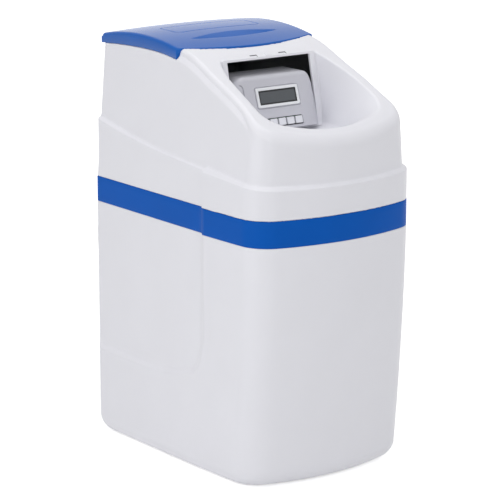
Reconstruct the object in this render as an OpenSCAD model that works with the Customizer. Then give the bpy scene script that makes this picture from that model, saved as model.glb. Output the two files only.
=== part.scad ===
// Compact cabinet water softener: a brine tank with a resin vessel, valve head and safety float inside,
// a trim band, a hood with a recessed control window, and a hinged salt lid.
// Millimetres. Origin on the floor at the middle of the cabinet, front towards -Y, up +Z.

/* [Cabinet] */
// Width of the cabinet at the trim band
cabinet_w = 320; // [310:1:350]
// Depth of the cabinet at the trim band
cabinet_d = 476; // [466:1:520]
// Height of the tank's rim, where the trim band starts
tank_h = 390; // [370:1:430]
// Height of the trim band
band_h = 42; // [36:1:60]
// Thickness of the trim band
band_t = 3; // [2.5:0.1:4]
// Wall of the brine tank
tank_wall = 6; // [5:0.5:7]
// Wall of the hood
hood_wall = 3; // [2.5:0.5:4]
// How far the middle of the front stands before its corners
front_bow = 31; // [20:1:40]
// How far the middle of each side stands out
side_bow = 4; // [1:0.5:6]
// Radius of the front corners
front_corner_r = 52; // [40:1:60]
// Radius of the rear corners
rear_corner_r = 29; // [20:1:36]
// Radius of the bottom edge
base_edge_r = 30; // [20:1:36]
// How far the front is drawn back at the floor
front_setback = 21; // [10:1:28]
// How far each side is drawn in at the floor
side_draft = 3; // [0:0.5:6]
// Depth of the flat on the rear part of each side
flat_depth = 8; // [6:0.5:10]
// Distance from the front to where the side flats start
flat_start = 170; // [150:1:200]
// Height of the lower edge of the side flats
flat_z = 150; // [120:1:180]
// Depth of the pocket around the overflow fitting
pocket_depth = 8; // [4:0.5:10]

/* [Hood] */
// Height of the hood's side edge at its crest, above the band
hood_h = 222; // [215:1:240]
// Height of the shoulder step above the band at mid depth
ledge_h = 66; // [56:1:76]
// Rise of the shoulder step per millimetre towards the rear
ledge_slope = 0.075; // [0.04:0.005:0.1]
// How far the upper walls stand in from the cabinet side at the step
hood_inset = 13; // [11:0.5:16]
// How far the upper front wall stands in from the cabinet front
hood_front_inset = 7; // [5:0.5:10]
// Inward lean of the upper side walls per millimetre of height
hood_lean = 0.085; // [0.06:0.005:0.1]
// Radius of the upper front corners
hood_corner_r = 40; // [34:1:50]
// Distance from the front to the crest of the top
crest_back = 348; // [340:1:350]
// Radius of the sloping front of the top
slope_r = 500; // [480:5:560]
// Rise of the slope over its side edges
slope_rise = 9; // [7:0.5:11]
// Width of the bevel along each side edge of the slope
slope_bevel = 10; // [6:0.5:14]
// Extra rise of the slope where it meets the lid
seat_lift = 9; // [6:0.5:10]
// Radius of the upper rear corners
hood_rear_r = 16; // [12:1:29]

/* [Control window] */
// Half width of the window wall
window_half_w = 90; // [86:0.5:96]
// Distance from the front to the foot of the window wall
window_back = 180; // [178:1:190]
// Height of the well's floor above the band
well_floor_h = 99.5; // [98:0.5:102]
// Lean of the window wall, degrees
window_tilt = 12.4; // [10:0.2:14]
// Half width of the well at the front of its rim
well_half_w = 110; // [106:0.5:112]
// Half width of the well at the top of the window wall
well_rear_half_w = 97; // [94:0.5:100]
// Distance from the front to the middle of the rim
rim_front = 27; // [25:1:32]
// Half width of the bezel's opening
bezel_open_half_w = 79; // [78.5:0.5:81]
// Thickness of the window bezel
bezel_t = 3; // [2:0.5:4]

/* [Lid] */
// Width of the lid
lid_w = 268; // [258:1:269]
// Distance from the front to the middle of the lid's front edge
lid_front = 238; // [234:1:250]
// How far the middle of the lid's front edge stands before its corners
lid_bow = 27; // [16:1:30]
// Height of the lid's side at its crest
lid_h = 21; // [17:1:26]
// Extra height of the lid's middle over its sides
lid_crown = 5; // [3:0.5:8]
// Radius of the lid's top, front to back
lid_r = 510; // [480:5:600]
// Wall of the lid
lid_wall = 3; // [2:0.5:4]
// Radius of the hinge pins
hinge_pin_r = 2; // [1.5:0.1:2.5]
// Depth of the finger scoop
scoop_depth = 2.4; // [1.5:0.1:2.6]

/* [Valve head] */
// Height of the piston's axis above the band
valve_axis_h = 83; // [81:0.5:85]
// Half width of the head cover
head_half_w = 78; // [75:0.5:78]
// Height of the head cover's top above the band
head_top_h = 189; // [184:1:192]
// Corner radius of the head cover
head_corner_r = 20; // [12:1:20]
// Wall of the head cover
head_wall = 2.5; // [2:0.1:3]
// Radius of the edge between the face and the top of the head cover
head_edge_r = 6; // [4:0.5:8]
// Lean of the display face, degrees
face_tilt = 18.5; // [16:0.5:20]
// Width of the display frame
display_w = 81.4; // [70:0.2:90]
// Height of the display frame
display_h = 31.5; // [26:0.5:34]
// Border of the display frame
display_border = 4.5; // [3:0.1:6]
// Width of a button
button_w = 13.9; // [11:0.1:14.5]
// Height of a button
button_h = 12; // [9:0.1:12.4]
// Spacing of the buttons
button_pitch = 16.3; // [15.9:0.1:18]
// Travel of a button
button_travel = 1; // [0.6:0.1:1.2]
// Radius of the valve's piston
piston_r = 14; // [12:0.5:15]
// Stroke of the piston
piston_stroke = 20; // [16:1:21]
// Radius of the piston rod
rod_r = 4; // [3:0.5:5]
// Gear module
gear_m = 1; // [0.9:0.05:1.05]

/* [Resin vessel] */
// Radius of the resin vessel
vessel_r = 103; // [96:1:104]
// Wall of the resin vessel
vessel_wall = 3; // [2:0.5:4]
// Radius of the vessel's neck opening
neck_r = 31; // [28:0.5:32]
// Radius of the riser tube
riser_r = 13; // [11:0.5:14]

/* [Plumbing] */
// Half the spacing of the inlet and the outlet
port_half = 42; // [41:0.5:46]
// Radius of the flow bore in the ports
port_bore_r = 13; // [12:0.5:13.5]
// Outer radius of the threaded pipe tails
tail_r = 13.22; // [12.5:0.02:14]
// How far the pipe tails stand out of the back
tail_out = 14; // [10:1:24]
// Radius of the brine well
brine_well_r = 42; // [38:0.5:43]
// Outer radius of the brine line
brine_line_r = 4.75; // [4:0.05:5]
// Outer radius of the overflow outlet
overflow_r = 12; // [10:0.5:13]
// Height of the overflow fitting above the floor
overflow_z = 323; // [316:1:330]
// Height of the salt grid above the tank's floor
grid_h = 56; // [50:1:70]

/* [Fits] */
// Gap between pieces that are put together by hand
fit_gap = 0.3; // [0.2:0.05:0.4]
// Radial clearance of turning and sliding fits
run_gap = 0.06; // [0.03:0.01:0.1]

/* [Hidden] */
$fn = 64;
half_w = cabinet_w / 2;
half_d = cabinet_d / 2;
front_y = -half_d;
back_y = half_d;
hood_z = tank_h + band_h;
collar_h = band_h + 14;
flat_x = half_w - flat_depth;
flat_y = front_y + flat_start;
far = 120;

// Plan outline of the cabinet
n_bow = 6;
n_front_corner = 6;
n_side = 6;
n_rear_corner = 4;
corner_min_r = 8;

function half_ring(hw, yf, yb, rf, rb, sb) =
    let (
        r = (hw * hw + front_bow * front_bow) / (2 * front_bow),
        cy = yf + r,
        fx = hw - rf,
        fy = cy - sqrt((r - rf) * (r - rf) - fx * fx),
        a = atan2(fy - cy, fx)
    )
    concat(
        [for (i = [0:n_bow]) let (t = -90 + (a + 90) * i / n_bow) [r * cos(t), cy + r * sin(t)]],
        [for (i = [1:n_front_corner]) let (t = a * (1 - i / n_front_corner))
            [fx + rf * cos(t), fy + rf * sin(t)]],
        [for (i = [1:n_side]) let (u = i / n_side) [hw + 4 * sb * u * (1 - u), fy + (yb - rb - fy) * u]],
        [for (i = [1:n_rear_corner]) let (t = 90 * i / n_rear_corner)
            [hw - rb + rb * cos(t), yb - rb + rb * sin(t)]]
    );

function ring(hw, yf, yb, rf, rb, sb) =
    let (h = half_ring(hw, yf, yb, rf, rb, sb))
    concat(h, [for (i = [len(h) - 1:-1:1]) [-h[i][0], h[i][1]]]);

function at_z(outline, z) = [for (p = outline) [p[0], p[1], z]];

// Solid skinned over a stack of rings that have the same number of points
module skin(rings) {
    n = len(rings[0]);
    last = (len(rings) - 1) * n;
    polyhedron(
        points = [for (r = rings) for (p = r) p],
        faces = concat(
            [[for (i = [0:n - 1]) i]],
            [for (k = [0:len(rings) - 2]) for (i = [0:n - 1]) let (j = (i + 1) % n)
                [k * n + i, (k + 1) * n + i, (k + 1) * n + j, k * n + j]],
            [[for (i = [n - 1:-1:0]) last + i]]
        ),
        convexity = 8
    );
}

// Outline of the cabinet at a height, drawn in by off
setback_power = 1.6;
function rise(z) = min(max(1 - z / tank_h, 0), 1);
function base_curve(z, off) =
    let (r = base_edge_r - off, d = r - (z - off))
    z - off >= r ? 0 : r - sqrt(max(r * r - d * d, 0));
function cabinet_ring(z, off) =
    let (
        e = base_curve(z, off),
        drawn = off + e
    )
    ring(
        half_w - side_bow - side_draft * rise(z) - drawn,
        front_y + front_setback * pow(rise(z), setback_power) + drawn,
        back_y - drawn,
        max(front_corner_r - 0.6 * drawn, corner_min_r),
        max(rear_corner_r - 0.6 * drawn, corner_min_r),
        side_bow
    );

curve_steps = 5;
wall_steps = 5;
function tank_heights(off) = concat(
    [for (i = [0:curve_steps]) off + (base_edge_r - off) * (1 - cos(90 * i / curve_steps))],
    [for (i = [1:wall_steps]) base_edge_r + (tank_h - base_edge_r) * i / wall_steps]
);

// Upright wall block of the cabinet above the tank, with the side flats taken off
module cabinet_prism(z0, z1, off) {
    difference() {
        translate([0, 0, z0]) linear_extrude(z1 - z0) polygon(cabinet_ring(tank_h, off));
        for (s = [-1, 1])
            translate([s > 0 ? flat_x - off : -flat_x + off - far, flat_y - off, z0 - 1])
                cube([far, cabinet_d + far, z1 - z0 + 2]);
    }
}

// Outline of a side flat in Y and Z: level at the rear, swept up to a round lower front corner
flat_corner_y = 38;
flat_corner_z = 71;
flat_rise = 14;
flat_level_y = 145;
flat_bevel = 7;
n_flat = 8;
function flat_outline(off) =
    let (
        y0 = flat_y - off,
        y1 = flat_y + flat_corner_y,
        y2 = flat_y + flat_level_y,
        z1 = flat_z + flat_rise
    )
    concat(
        [[y0, tank_h + far]],
        [for (i = [0:n_flat]) let (t = 180 + 90 * i / n_flat)
            [y1 + (flat_corner_y + off) * cos(t), z1 + flat_corner_z + (flat_corner_z + off) * sin(t)]],
        [for (i = [1:n_flat]) let (u = i / n_flat)
            [y1 + (y2 - y1) * u, flat_z - off + flat_rise * (1 - u) * (1 - u)]],
        [[back_y + far, flat_z - off], [back_y + far, tank_h + far]]
    );

// Block that takes off one side flat, with a bevelled edge
module side_flat(s, off) {
    thin = 0.02;
    hull() {
        translate([s * (flat_x - off), 0, 0])
            rotate([90, 0, 90]) linear_extrude(thin) polygon(flat_outline(off));
        translate([s * (half_w + flat_bevel - flat_depth - off), 0, 0])
            rotate([90, 0, 90]) linear_extrude(thin) polygon(flat_outline(off + flat_bevel));
        translate([s * (half_w + far), 0, 0])
            rotate([90, 0, 90]) linear_extrude(thin) polygon(flat_outline(off + flat_bevel));
    }
}

// Pocket across the rear left corner for the overflow fitting
pocket_half_h = 53;
pocket_slant = 18;
pocket_w = 90;
module rear_pocket(off) {
    translate([-half_w - 10, 0, 0]) rotate([90, 0, 90]) linear_extrude(pocket_w + 10 + off) polygon([
        [back_y + far, overflow_z - pocket_half_h - pocket_slant - off],
        [back_y, overflow_z - pocket_half_h - pocket_slant - off],
        [back_y - pocket_depth - off, overflow_z - pocket_half_h - off],
        [back_y - pocket_depth - off, overflow_z + pocket_half_h - 20 + off],
        [back_y, overflow_z + pocket_half_h + pocket_slant - 15 + off],
        [back_y + far, overflow_z + pocket_half_h + pocket_slant - 15 + off]
    ]);
}

// Overflow fitting
overflow_x = -half_w + 42;
overflow_stub_r = overflow_r - 1.5;
pocket_y = back_y - pocket_depth;
overflow_bore_r = overflow_r - 4;
overflow_flange_r = overflow_r + 5;
overflow_flange_t = 3.5;
overflow_reach = 24;
overflow_drop = 25;

module brine_tank() color("#eef0f3") {
    difference() {
        union() {
            difference() {
                skin([for (z = tank_heights(0)) at_z(cabinet_ring(z, 0), z)]);
                for (s = [-1, 1]) side_flat(s, 0);
                rear_pocket(0);
            }
            cabinet_prism(tank_h - 4, tank_h + collar_h, band_t + fit_gap);
        }
        difference() {
            skin(concat(
                [for (z = tank_heights(tank_wall)) at_z(cabinet_ring(z, tank_wall), z)],
                [at_z(cabinet_ring(tank_h, tank_wall), tank_h + collar_h + 1)]
            ));
            for (s = [-1, 1]) side_flat(s, tank_wall);
            rear_pocket(tank_wall);
        }
        translate([overflow_x, pocket_y + 1, overflow_z])
            rotate([90, 0, 0]) cylinder(r = overflow_stub_r + fit_gap, h = tank_wall + 2);
    }
}

module trim_band() color("#1c55a8") {
    difference() {
        cabinet_prism(tank_h, hood_z, 0);
        cabinet_prism(tank_h - 1, hood_z + 1, band_t);
    }
}

// Hood: height of the shoulder step, of the side edge and of the top along Y
ledge_curl = 0.0003;
rear_r = 1400;
crest_y = front_y + crest_back;
edge_top_z = hood_z + hood_h;
lid_front_y = front_y + lid_front;
lift_run = 90;
lift_y0 = lid_front_y - 80;
function ledge_z(y) = hood_z + ledge_h + ledge_slope * y + ledge_curl * pow(max(y, 0), 2);
function edge_z(y) = edge_top_z - pow(y - crest_y, 2) / (2 * (y < crest_y ? slope_r : rear_r));
function eased(t) = let (c = min(max(t, 0), 1)) c * c * (3 - 2 * c);
function top_z(y) = edge_z(y) + slope_rise + seat_lift * eased((y - lift_y0) / lift_run);
function hood_hw(z) = half_w - hood_inset - hood_lean * (z - hood_z - ledge_h);

// Upper front wall: upright, then rounded over the nose in straight steps
nose = [[0, 0], [103, 0], [113, 1.5], [123, 6.5], [133, 15.5], [260, 155]];
function nose_inset(h) = lookup(h, nose);
hood_levels = [20, 103, 113, 123, 133, 180, 260];
function hood_ring(h, off) =
    let (z = hood_z + h)
    ring(
        hood_hw(z) - off,
        front_y + hood_front_inset + nose_inset(h) + off,
        back_y - off,
        hood_corner_r - off,
        hood_rear_r - off,
        0
    );
module hood_loft(off) skin([for (h = hood_levels) at_z(hood_ring(h, off), hood_z + h)]);

// Everything below the shoulder step
n_ledge = 12;
module under_ledge(off) {
    y0 = front_y - far;
    y1 = back_y + far;
    translate([-half_w - far, 0, 0]) rotate([90, 0, 90]) linear_extrude(cabinet_w + 2 * far) polygon(concat(
        [[y1, hood_z - far], [y0, hood_z - far]],
        [for (i = [0:n_ledge]) let (y = y0 + (y1 - y0) * i / n_ledge) [y, ledge_z(y) - off]]
    ));
}

// Everything below the sloping top, with its bevelled side edges
n_roof = 32;
roof_skirt = 60;
module roof(off) {
    y0 = front_y - 40;
    y1 = back_y + 20;
    function section(y) =
        let (
            z = top_z(y) - off,
            c = hood_hw(top_z(y)) - slope_bevel - off / 2,
            d = roof_skirt * slope_rise / slope_bevel
        )
        [
            [c + roof_skirt, y, hood_z - 20],
            [c + roof_skirt, y, z - d],
            [c, y, z],
            [-c, y, z],
            [-c - roof_skirt, y, z - d],
            [-c - roof_skirt, y, hood_z - 20]
        ];
    skin([for (i = [n_roof:-1:0]) section(y0 + (y1 - y0) * i / n_roof)]);
}

// Space under the lid: everything above the side edge behind the lid's front edge
n_lid_bow = 10;
seat_y0 = lid_front_y - 60;
seat_y1 = back_y + 40;
function lid_edge_y(x) = lid_front_y + lid_bow * pow(2 * x / lid_w, 2);
module lid_seat(off, gap) {
    intersection() {
        translate([0, 0, hood_z + 100]) linear_extrude(hood_h) polygon(concat(
            [for (i = [-n_lid_bow:n_lid_bow]) let (x = half_w * i / n_lid_bow)
                [x, lid_edge_y(x) - gap - off]],
            [[half_w, back_y + far], [-half_w, back_y + far]]
        ));
        translate([-half_w - 1, 0, 0]) rotate([90, 0, 90]) linear_extrude(cabinet_w + 2) polygon(concat(
            [for (i = [0:n_roof]) let (y = seat_y0 + (seat_y1 - seat_y0) * i / n_roof)
                [y, edge_z(y) - off]],
            [[seat_y1, edge_top_z + far], [seat_y0, edge_top_z + far]]
        ));
    }
}

// Well in front of the control window
window_y = front_y + window_back;
well_z = hood_z + well_floor_h;
rim_y = front_y + rim_front;
rim_corner_y = rim_y + front_bow;
window_run = 25;
window_top_z = top_z(window_y + window_run);
rim_slope = atan2(window_top_z - top_z(rim_corner_y), window_y + window_run - rim_corner_y);
window_len = (window_top_z - well_z) / cos(window_tilt);
n_rim = 5;
rim_rear_half_w = well_rear_half_w + 6;
module on_window() translate([0, window_y, well_z]) rotate([90 - window_tilt, 0, 0]) children();
module well_form(off) {
    thin = 0.02;
    hull() {
        on_window() translate([0, 0, -off]) linear_extrude(thin) polygon([
            [-window_half_w - off, -off],
            [window_half_w + off, -off],
            [well_rear_half_w + off, window_len + 30],
            [-well_rear_half_w - off, window_len + 30]
        ]);
        translate([0, rim_corner_y, top_z(rim_corner_y)]) rotate([rim_slope, 0, 0]) translate([0, 0, -4])
            linear_extrude(34) polygon(concat(
                [for (i = [-n_rim:n_rim]) let (x = (well_half_w + off) * i / n_rim)
                    [x, -off - (front_bow + 2) * (1 - pow(i / n_rim, 2))]],
                [[rim_rear_half_w + off, 130], [-rim_rear_half_w - off, 130]]
            ));
        translate([0, 0, well_z - off]) linear_extrude(thin) polygon([
            [window_half_w + off, window_y],
            [0.75 * window_half_w + off, rim_corner_y + 30 - off],
            [0, rim_y + 36 - off],
            [-0.75 * window_half_w - off, rim_corner_y + 30 - off],
            [-window_half_w - off, window_y]
        ]);
    }
}

// Window cut and its bezel, in the window wall's own plane
bezel_bar = 2;
bezel_foot = 0.5;
bezel_lip = 1.8;
window_hole_half_w = bezel_open_half_w + 4;
window_hole_z0 = bezel_foot + 0.7;
window_hole_z1 = window_len - 1.3;

// Lid hinge at the rear
hinge_y = back_y + 6.5;
hinge_z = edge_z(back_y) + 2.4;
hinge_r = hinge_pin_r + 3;
hinge_x = 84;
knuckle_w = 22;
lug_w = 10;

module hinge_lug(x0) {
    translate([x0, hinge_y, hinge_z]) rotate([0, 90, 0]) cylinder(r = hinge_r, h = lug_w);
    translate([x0, back_y - hood_wall, hinge_z - 22])
        cube([lug_w, hinge_y - back_y + hood_wall + hinge_r, 16]);
    translate([x0, back_y + fit_gap, hinge_z - 10])
        cube([lug_w, hinge_y - back_y - fit_gap + hinge_r, 10]);
}

// Salt opening in the deck and pipe notch in the back
opening_half_w = lid_w / 2 - 22;
opening_y0 = lid_front_y + 51;
opening_y1 = back_y - 16;
notch_half_w = port_half + 18;
notch_top = hood_z + valve_axis_h + 32;

// Low-voltage power inlet in the rear wall
socket_r = 2.8;
socket_body_r = 6;
socket_x = opening_half_w - 20;
socket_z = notch_top + 13;

module hood_form() {
    difference() {
        union() {
            intersection() {
                cabinet_prism(hood_z, hood_z + hood_h, 0);
                under_ledge(0);
            }
            intersection() {
                hood_loft(0);
                roof(0);
            }
        }
        difference() {
            union() {
                intersection() {
                    cabinet_prism(hood_z - 1, hood_z + hood_h, hood_wall);
                    under_ledge(hood_wall);
                }
                intersection() {
                    hood_loft(hood_wall);
                    roof(hood_wall);
                }
            }
            well_form(hood_wall);
            lid_seat(hood_wall, fit_gap);
        }
        well_form(0);
        lid_seat(0, fit_gap);
        on_window() translate([-window_hole_half_w, window_hole_z0, -2 * hood_wall - 2])
            cube([2 * window_hole_half_w, window_hole_z1 - window_hole_z0, 2 * hood_wall + 4]);
        translate([-opening_half_w, opening_y0, edge_top_z - 40])
            cube([2 * opening_half_w, opening_y1 - opening_y0, 60]);
        translate([-notch_half_w, back_y - 20, hood_z - 1])
            cube([2 * notch_half_w, 40, notch_top - hood_z + 1]);
        translate([socket_x, back_y + 10, socket_z])
            rotate([90, 0, 0]) cylinder(r = socket_body_r + fit_gap, h = 30);
    }
}

// The hood is held as three parts that meet at the front of the salt opening and behind its middle
hood_split_y = opening_y0 + 2;
module ahead_of_split() translate([-half_w - far, hood_split_y - cabinet_d, hood_z - far])
    cube([cabinet_w + 2 * far, cabinet_d, hood_h + 2 * far]);
module behind_split(s) translate([s < 0 ? -half_w - far : 0, hood_split_y, hood_z - far])
    cube([half_w + far, cabinet_d, hood_h + 2 * far]);

module shroud() color("#eef0f3") intersection() {
    hood_form();
    ahead_of_split();
}

module shroud_rear(s) {
    intersection() {
        hood_form();
        behind_split(s);
    }
    difference() {
        for (side = [-1, 1])
            hinge_lug(s * hinge_x + side * (knuckle_w / 2 + fit_gap + lug_w / 2) - lug_w / 2);
        translate([-half_w, hinge_y, hinge_z])
            rotate([0, 90, 0]) cylinder(r = hinge_pin_r + run_gap / 3, h = cabinet_w);
    }
}
module shroud_rear_left() color("#eef0f3") shroud_rear(-1);
module shroud_rear_right() color("#eef0f3") shroud_rear(1);

module window_bezel() color("#f4f5f6") {
    outer = window_half_w - 0.5;
    top_slot_w = 13;
    top_slot_h = 1.6;
    rim_half_w = window_hole_half_w - fit_gap;
    rim_h = window_hole_z1 - window_hole_z0 - 2 * fit_gap;
    open_z0 = bezel_foot + bezel_bar;
    open_z1 = window_len - bezel_bar - 0.2;
    on_window() difference() {
        union() {
            translate([-outer, bezel_foot, fit_gap / 3])
                cube([2 * outer, window_len + bezel_lip - bezel_foot, bezel_t]);
            translate([-rim_half_w, window_hole_z0 + fit_gap, -hood_wall])
                cube([2 * rim_half_w, rim_h, hood_wall + 1]);
        }
        translate([-bezel_open_half_w, open_z0, -20])
            cube([2 * bezel_open_half_w, open_z1 - open_z0, 40]);
        for (x = [-29, 29]) translate([x - top_slot_w / 2, window_len - 0.6, bezel_t - 2])
            cube([top_slot_w, top_slot_h, 4]);
    }
}

// Lid: a crowned sheet with sides, its front edge bowed
lid_crest_y = crest_y + 20;
lid_half_w = lid_w / 2;
lid_back_y = back_y - 0.5;
lid_nx = 14;
lid_ny = 14;
function lid_top_z(x, y) =
    edge_top_z + lid_h - pow(y - lid_crest_y, 2) / (2 * lid_r) + lid_crown * (1 - pow(x / lid_half_w, 2));
module lid_form(off, down) {
    function px(i) = (lid_half_w - off) * (2 * i / lid_nx - 1);
    function py(i, j) = let (y0 = lid_edge_y(px(i)) + off) y0 + (lid_back_y - off - y0) * j / lid_ny;
    n = lid_nx + 1;
    m = lid_ny + 1;
    function top(i, j) = j * n + i;
    function low(i, j) = n * m + j * n + i;
    polyhedron(
        points = concat(
            [for (j = [0:lid_ny]) for (i = [0:lid_nx]) [px(i), py(i, j), lid_top_z(px(i), py(i, j)) - off]],
            [for (j = [0:lid_ny]) for (i = [0:lid_nx]) [px(i), py(i, j), edge_z(py(i, j)) + fit_gap - down]]
        ),
        faces = concat(
            [for (j = [0:lid_ny - 1]) for (i = [0:lid_nx - 1])
                [top(i, j), top(i, j + 1), top(i + 1, j + 1), top(i + 1, j)]],
            [for (j = [0:lid_ny - 1]) for (i = [0:lid_nx - 1])
                [low(i, j), low(i + 1, j), low(i + 1, j + 1), low(i, j + 1)]],
            [for (i = [0:lid_nx - 1]) [top(i, 0), top(i + 1, 0), low(i + 1, 0), low(i, 0)]],
            [for (i = [0:lid_nx - 1])
                [top(i + 1, lid_ny), top(i, lid_ny), low(i, lid_ny), low(i + 1, lid_ny)]],
            [for (j = [0:lid_ny - 1]) [top(0, j + 1), top(0, j), low(0, j), low(0, j + 1)]],
            [for (j = [0:lid_ny - 1])
                [top(lid_nx, j), top(lid_nx, j + 1), low(lid_nx, j + 1), low(lid_nx, j)]]
        ),
        convexity = 4
    );
}

scoop_y = lid_front_y + 56;
scoop_r = 45;
module salt_lid() color("#3f6fc0") {
    difference() {
        lid_form(0, 0);
        lid_form(lid_wall, 5);
        translate([-lid_half_w, scoop_y, lid_top_z(0, scoop_y) + scoop_r - scoop_depth])
            rotate([0, 90, 0]) cylinder(r = scoop_r, h = lid_w, $fn = 96);
    }
    for (s = [-1, 1]) difference() {
        union() {
            translate([s * hinge_x - knuckle_w / 2, hinge_y, hinge_z])
                rotate([0, 90, 0]) cylinder(r = hinge_r, h = knuckle_w);
            translate([s * hinge_x - knuckle_w / 2, lid_back_y - lid_wall / 2, hinge_z - 1])
                cube([knuckle_w, hinge_y - lid_back_y + lid_wall / 2, hinge_r + 1]);
        }
        translate([s * hinge_x - knuckle_w, hinge_y, hinge_z])
            rotate([0, 90, 0]) cylinder(r = hinge_pin_r + run_gap, h = 2 * knuckle_w);
    }
}

module lid_hinge_pins() color("#9a9fa5") {
    pin_l = knuckle_w + 2 * lug_w + 2 * fit_gap;
    for (s = [-1, 1])
        translate([s * hinge_x - pin_l / 2, hinge_y, hinge_z])
            rotate([0, 90, 0]) cylinder(r = hinge_pin_r, h = pin_l);
}

// Places inside the cabinet
vessel_y = window_y + 98;
valve_z = hood_z + valve_axis_h;
neck_z = valve_z - 60;
floor_z = tank_wall;

// Resin vessel: domed bottle standing in a boot
vessel_z = floor_z + 10;
dome_low = 50;
dome_high = 45;
neck_h = 18;
n_dome = 9;
function vessel_profile(off) =
    let (r = vessel_r - off, top = neck_z - neck_h)
    concat(
        [[0, vessel_z + off]],
        [for (i = [1:n_dome]) let (t = 90 * i / n_dome)
            [r * sin(t), vessel_z + dome_low - (dome_low - off) * cos(t)]],
        [for (i = [0:n_dome - 2]) let (t = 90 * i / n_dome)
            [r * cos(t), top - dome_high + (dome_high - off) * sin(t)]]
    );
module resin_tank() color("#3a4a5c") {
    translate([0, vessel_y, 0]) rotate_extrude() difference() {
        union() {
            polygon(concat(vessel_profile(0), [[0, neck_z - neck_h - 8]]));
            translate([0, neck_z - neck_h - 12]) square([neck_r + 6, neck_h + 12]);
        }
        polygon(concat(vessel_profile(vessel_wall), [[0, neck_z - neck_h - 12]]));
        translate([0, neck_z - neck_h - 16]) square([neck_r, neck_h + 20]);
    }
}

module tank_base() color("#2b2e33") {
    boot_r = vessel_r - 12;
    boot_h = dome_low - 8;
    translate([0, vessel_y, 0]) rotate_extrude() difference() {
        translate([30, floor_z]) square([boot_r - 30, boot_h]);
        polygon(concat(
            [for (p = vessel_profile(-fit_gap)) if (p[1] < vessel_z + dome_low + 1) p],
            [[0, vessel_z + dome_low]]
        ));
    }
}

// Riser with its strainers, and the resin around it
basket_r = riser_r + 11;
riser_z0 = vessel_z + vessel_wall + 12;
riser_z1 = valve_z - 33;
bed_z0 = riser_z0 + 34;
bed_z1 = neck_z - 130;
module riser_tube() color("#d9dde0") {
    translate([0, vessel_y, riser_z0]) difference() {
        cylinder(r = riser_r, h = riser_z1 - riser_z0);
        translate([0, 0, -1]) cylinder(r = riser_r - 2.5, h = riser_z1 - riser_z0 + 2);
    }
}

basket_z = vessel_z + dome_low + 0.2
    - (dome_low - vessel_wall) * sqrt(1 - pow(basket_r / (vessel_r - vessel_wall), 2));
module bottom_basket() color("#f0f0f0") {
    translate([0, vessel_y, basket_z]) difference() {
        cylinder(r = basket_r, h = 43);
        translate([0, 0, riser_z0 - basket_z]) cylinder(r = riser_r + run_gap, h = 50);
        for (k = [0:4]) translate([0, 0, 15 + 5 * k]) difference() {
            cylinder(r = basket_r + 1, h = 1.5);
            translate([0, 0, -1]) cylinder(r = riser_r + 4, h = 4);
        }
    }
}

module resin_bed() color("#c98f3a") {
    translate([0, vessel_y, 0]) difference() {
        translate([0, 0, bed_z0]) cylinder(r = vessel_r - vessel_wall - fit_gap, h = bed_z1 - bed_z0);
        translate([0, 0, bed_z0 - 1]) cylinder(r = riser_r + fit_gap, h = bed_z1 - bed_z0 + 2);
    }
}

spigot_h = neck_h + 2;
module top_basket() color("#f0f0f0") {
    z0 = neck_z - spigot_h - 26;
    translate([0, vessel_y, z0]) difference() {
        cylinder(r = neck_r - 4, h = 26);
        translate([0, 0, -1]) cylinder(r = riser_r + run_gap, h = 40);
        for (k = [0:3]) translate([0, 0, 4 + 5 * k]) difference() {
            cylinder(r = neck_r, h = 1.5);
            translate([0, 0, -1]) cylinder(r = riser_r + 4, h = 4);
        }
    }
}

// Valve body on the neck, piston along Y
gasket_h = 1.5;
flange_z = neck_z + gasket_h;
bore_r = piston_r + 10;
body_r = bore_r + 8;
seal_t = 3;
spacer_t = 12;
n_spacer = 5;
valve_y0 = vessel_y - 48;
plug_t = 14;
stack_y0 = valve_y0 + plug_t;
stack_y1 = stack_y0 + n_spacer * (seal_t + spacer_t) + seal_t;
valve_y1 = stack_y1 + 10;
port_y0 = valve_y0 + 38;
port_y1 = valve_y0 + 120;
port_r = port_bore_r + 4;
side_port_y = valve_y0 + 24;
side_port_r = 12;
injector_r = 8;
side_port_x = body_r + 24;
brine_port_z = flange_z + 16;
brine_port_x = 52;

module along_y(x, y, z) translate([x, y, z]) rotate([-90, 0, 0]) children();
module along_x(x, y, z) translate([x, y, z]) rotate([0, 90, 0]) children();

module tank_o_ring() color("#222222") {
    translate([0, vessel_y, neck_z]) difference() {
        cylinder(r = neck_r + 5, h = gasket_h);
        translate([0, 0, -1]) cylinder(r = neck_r + 1, h = gasket_h + 2);
    }
}

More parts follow.
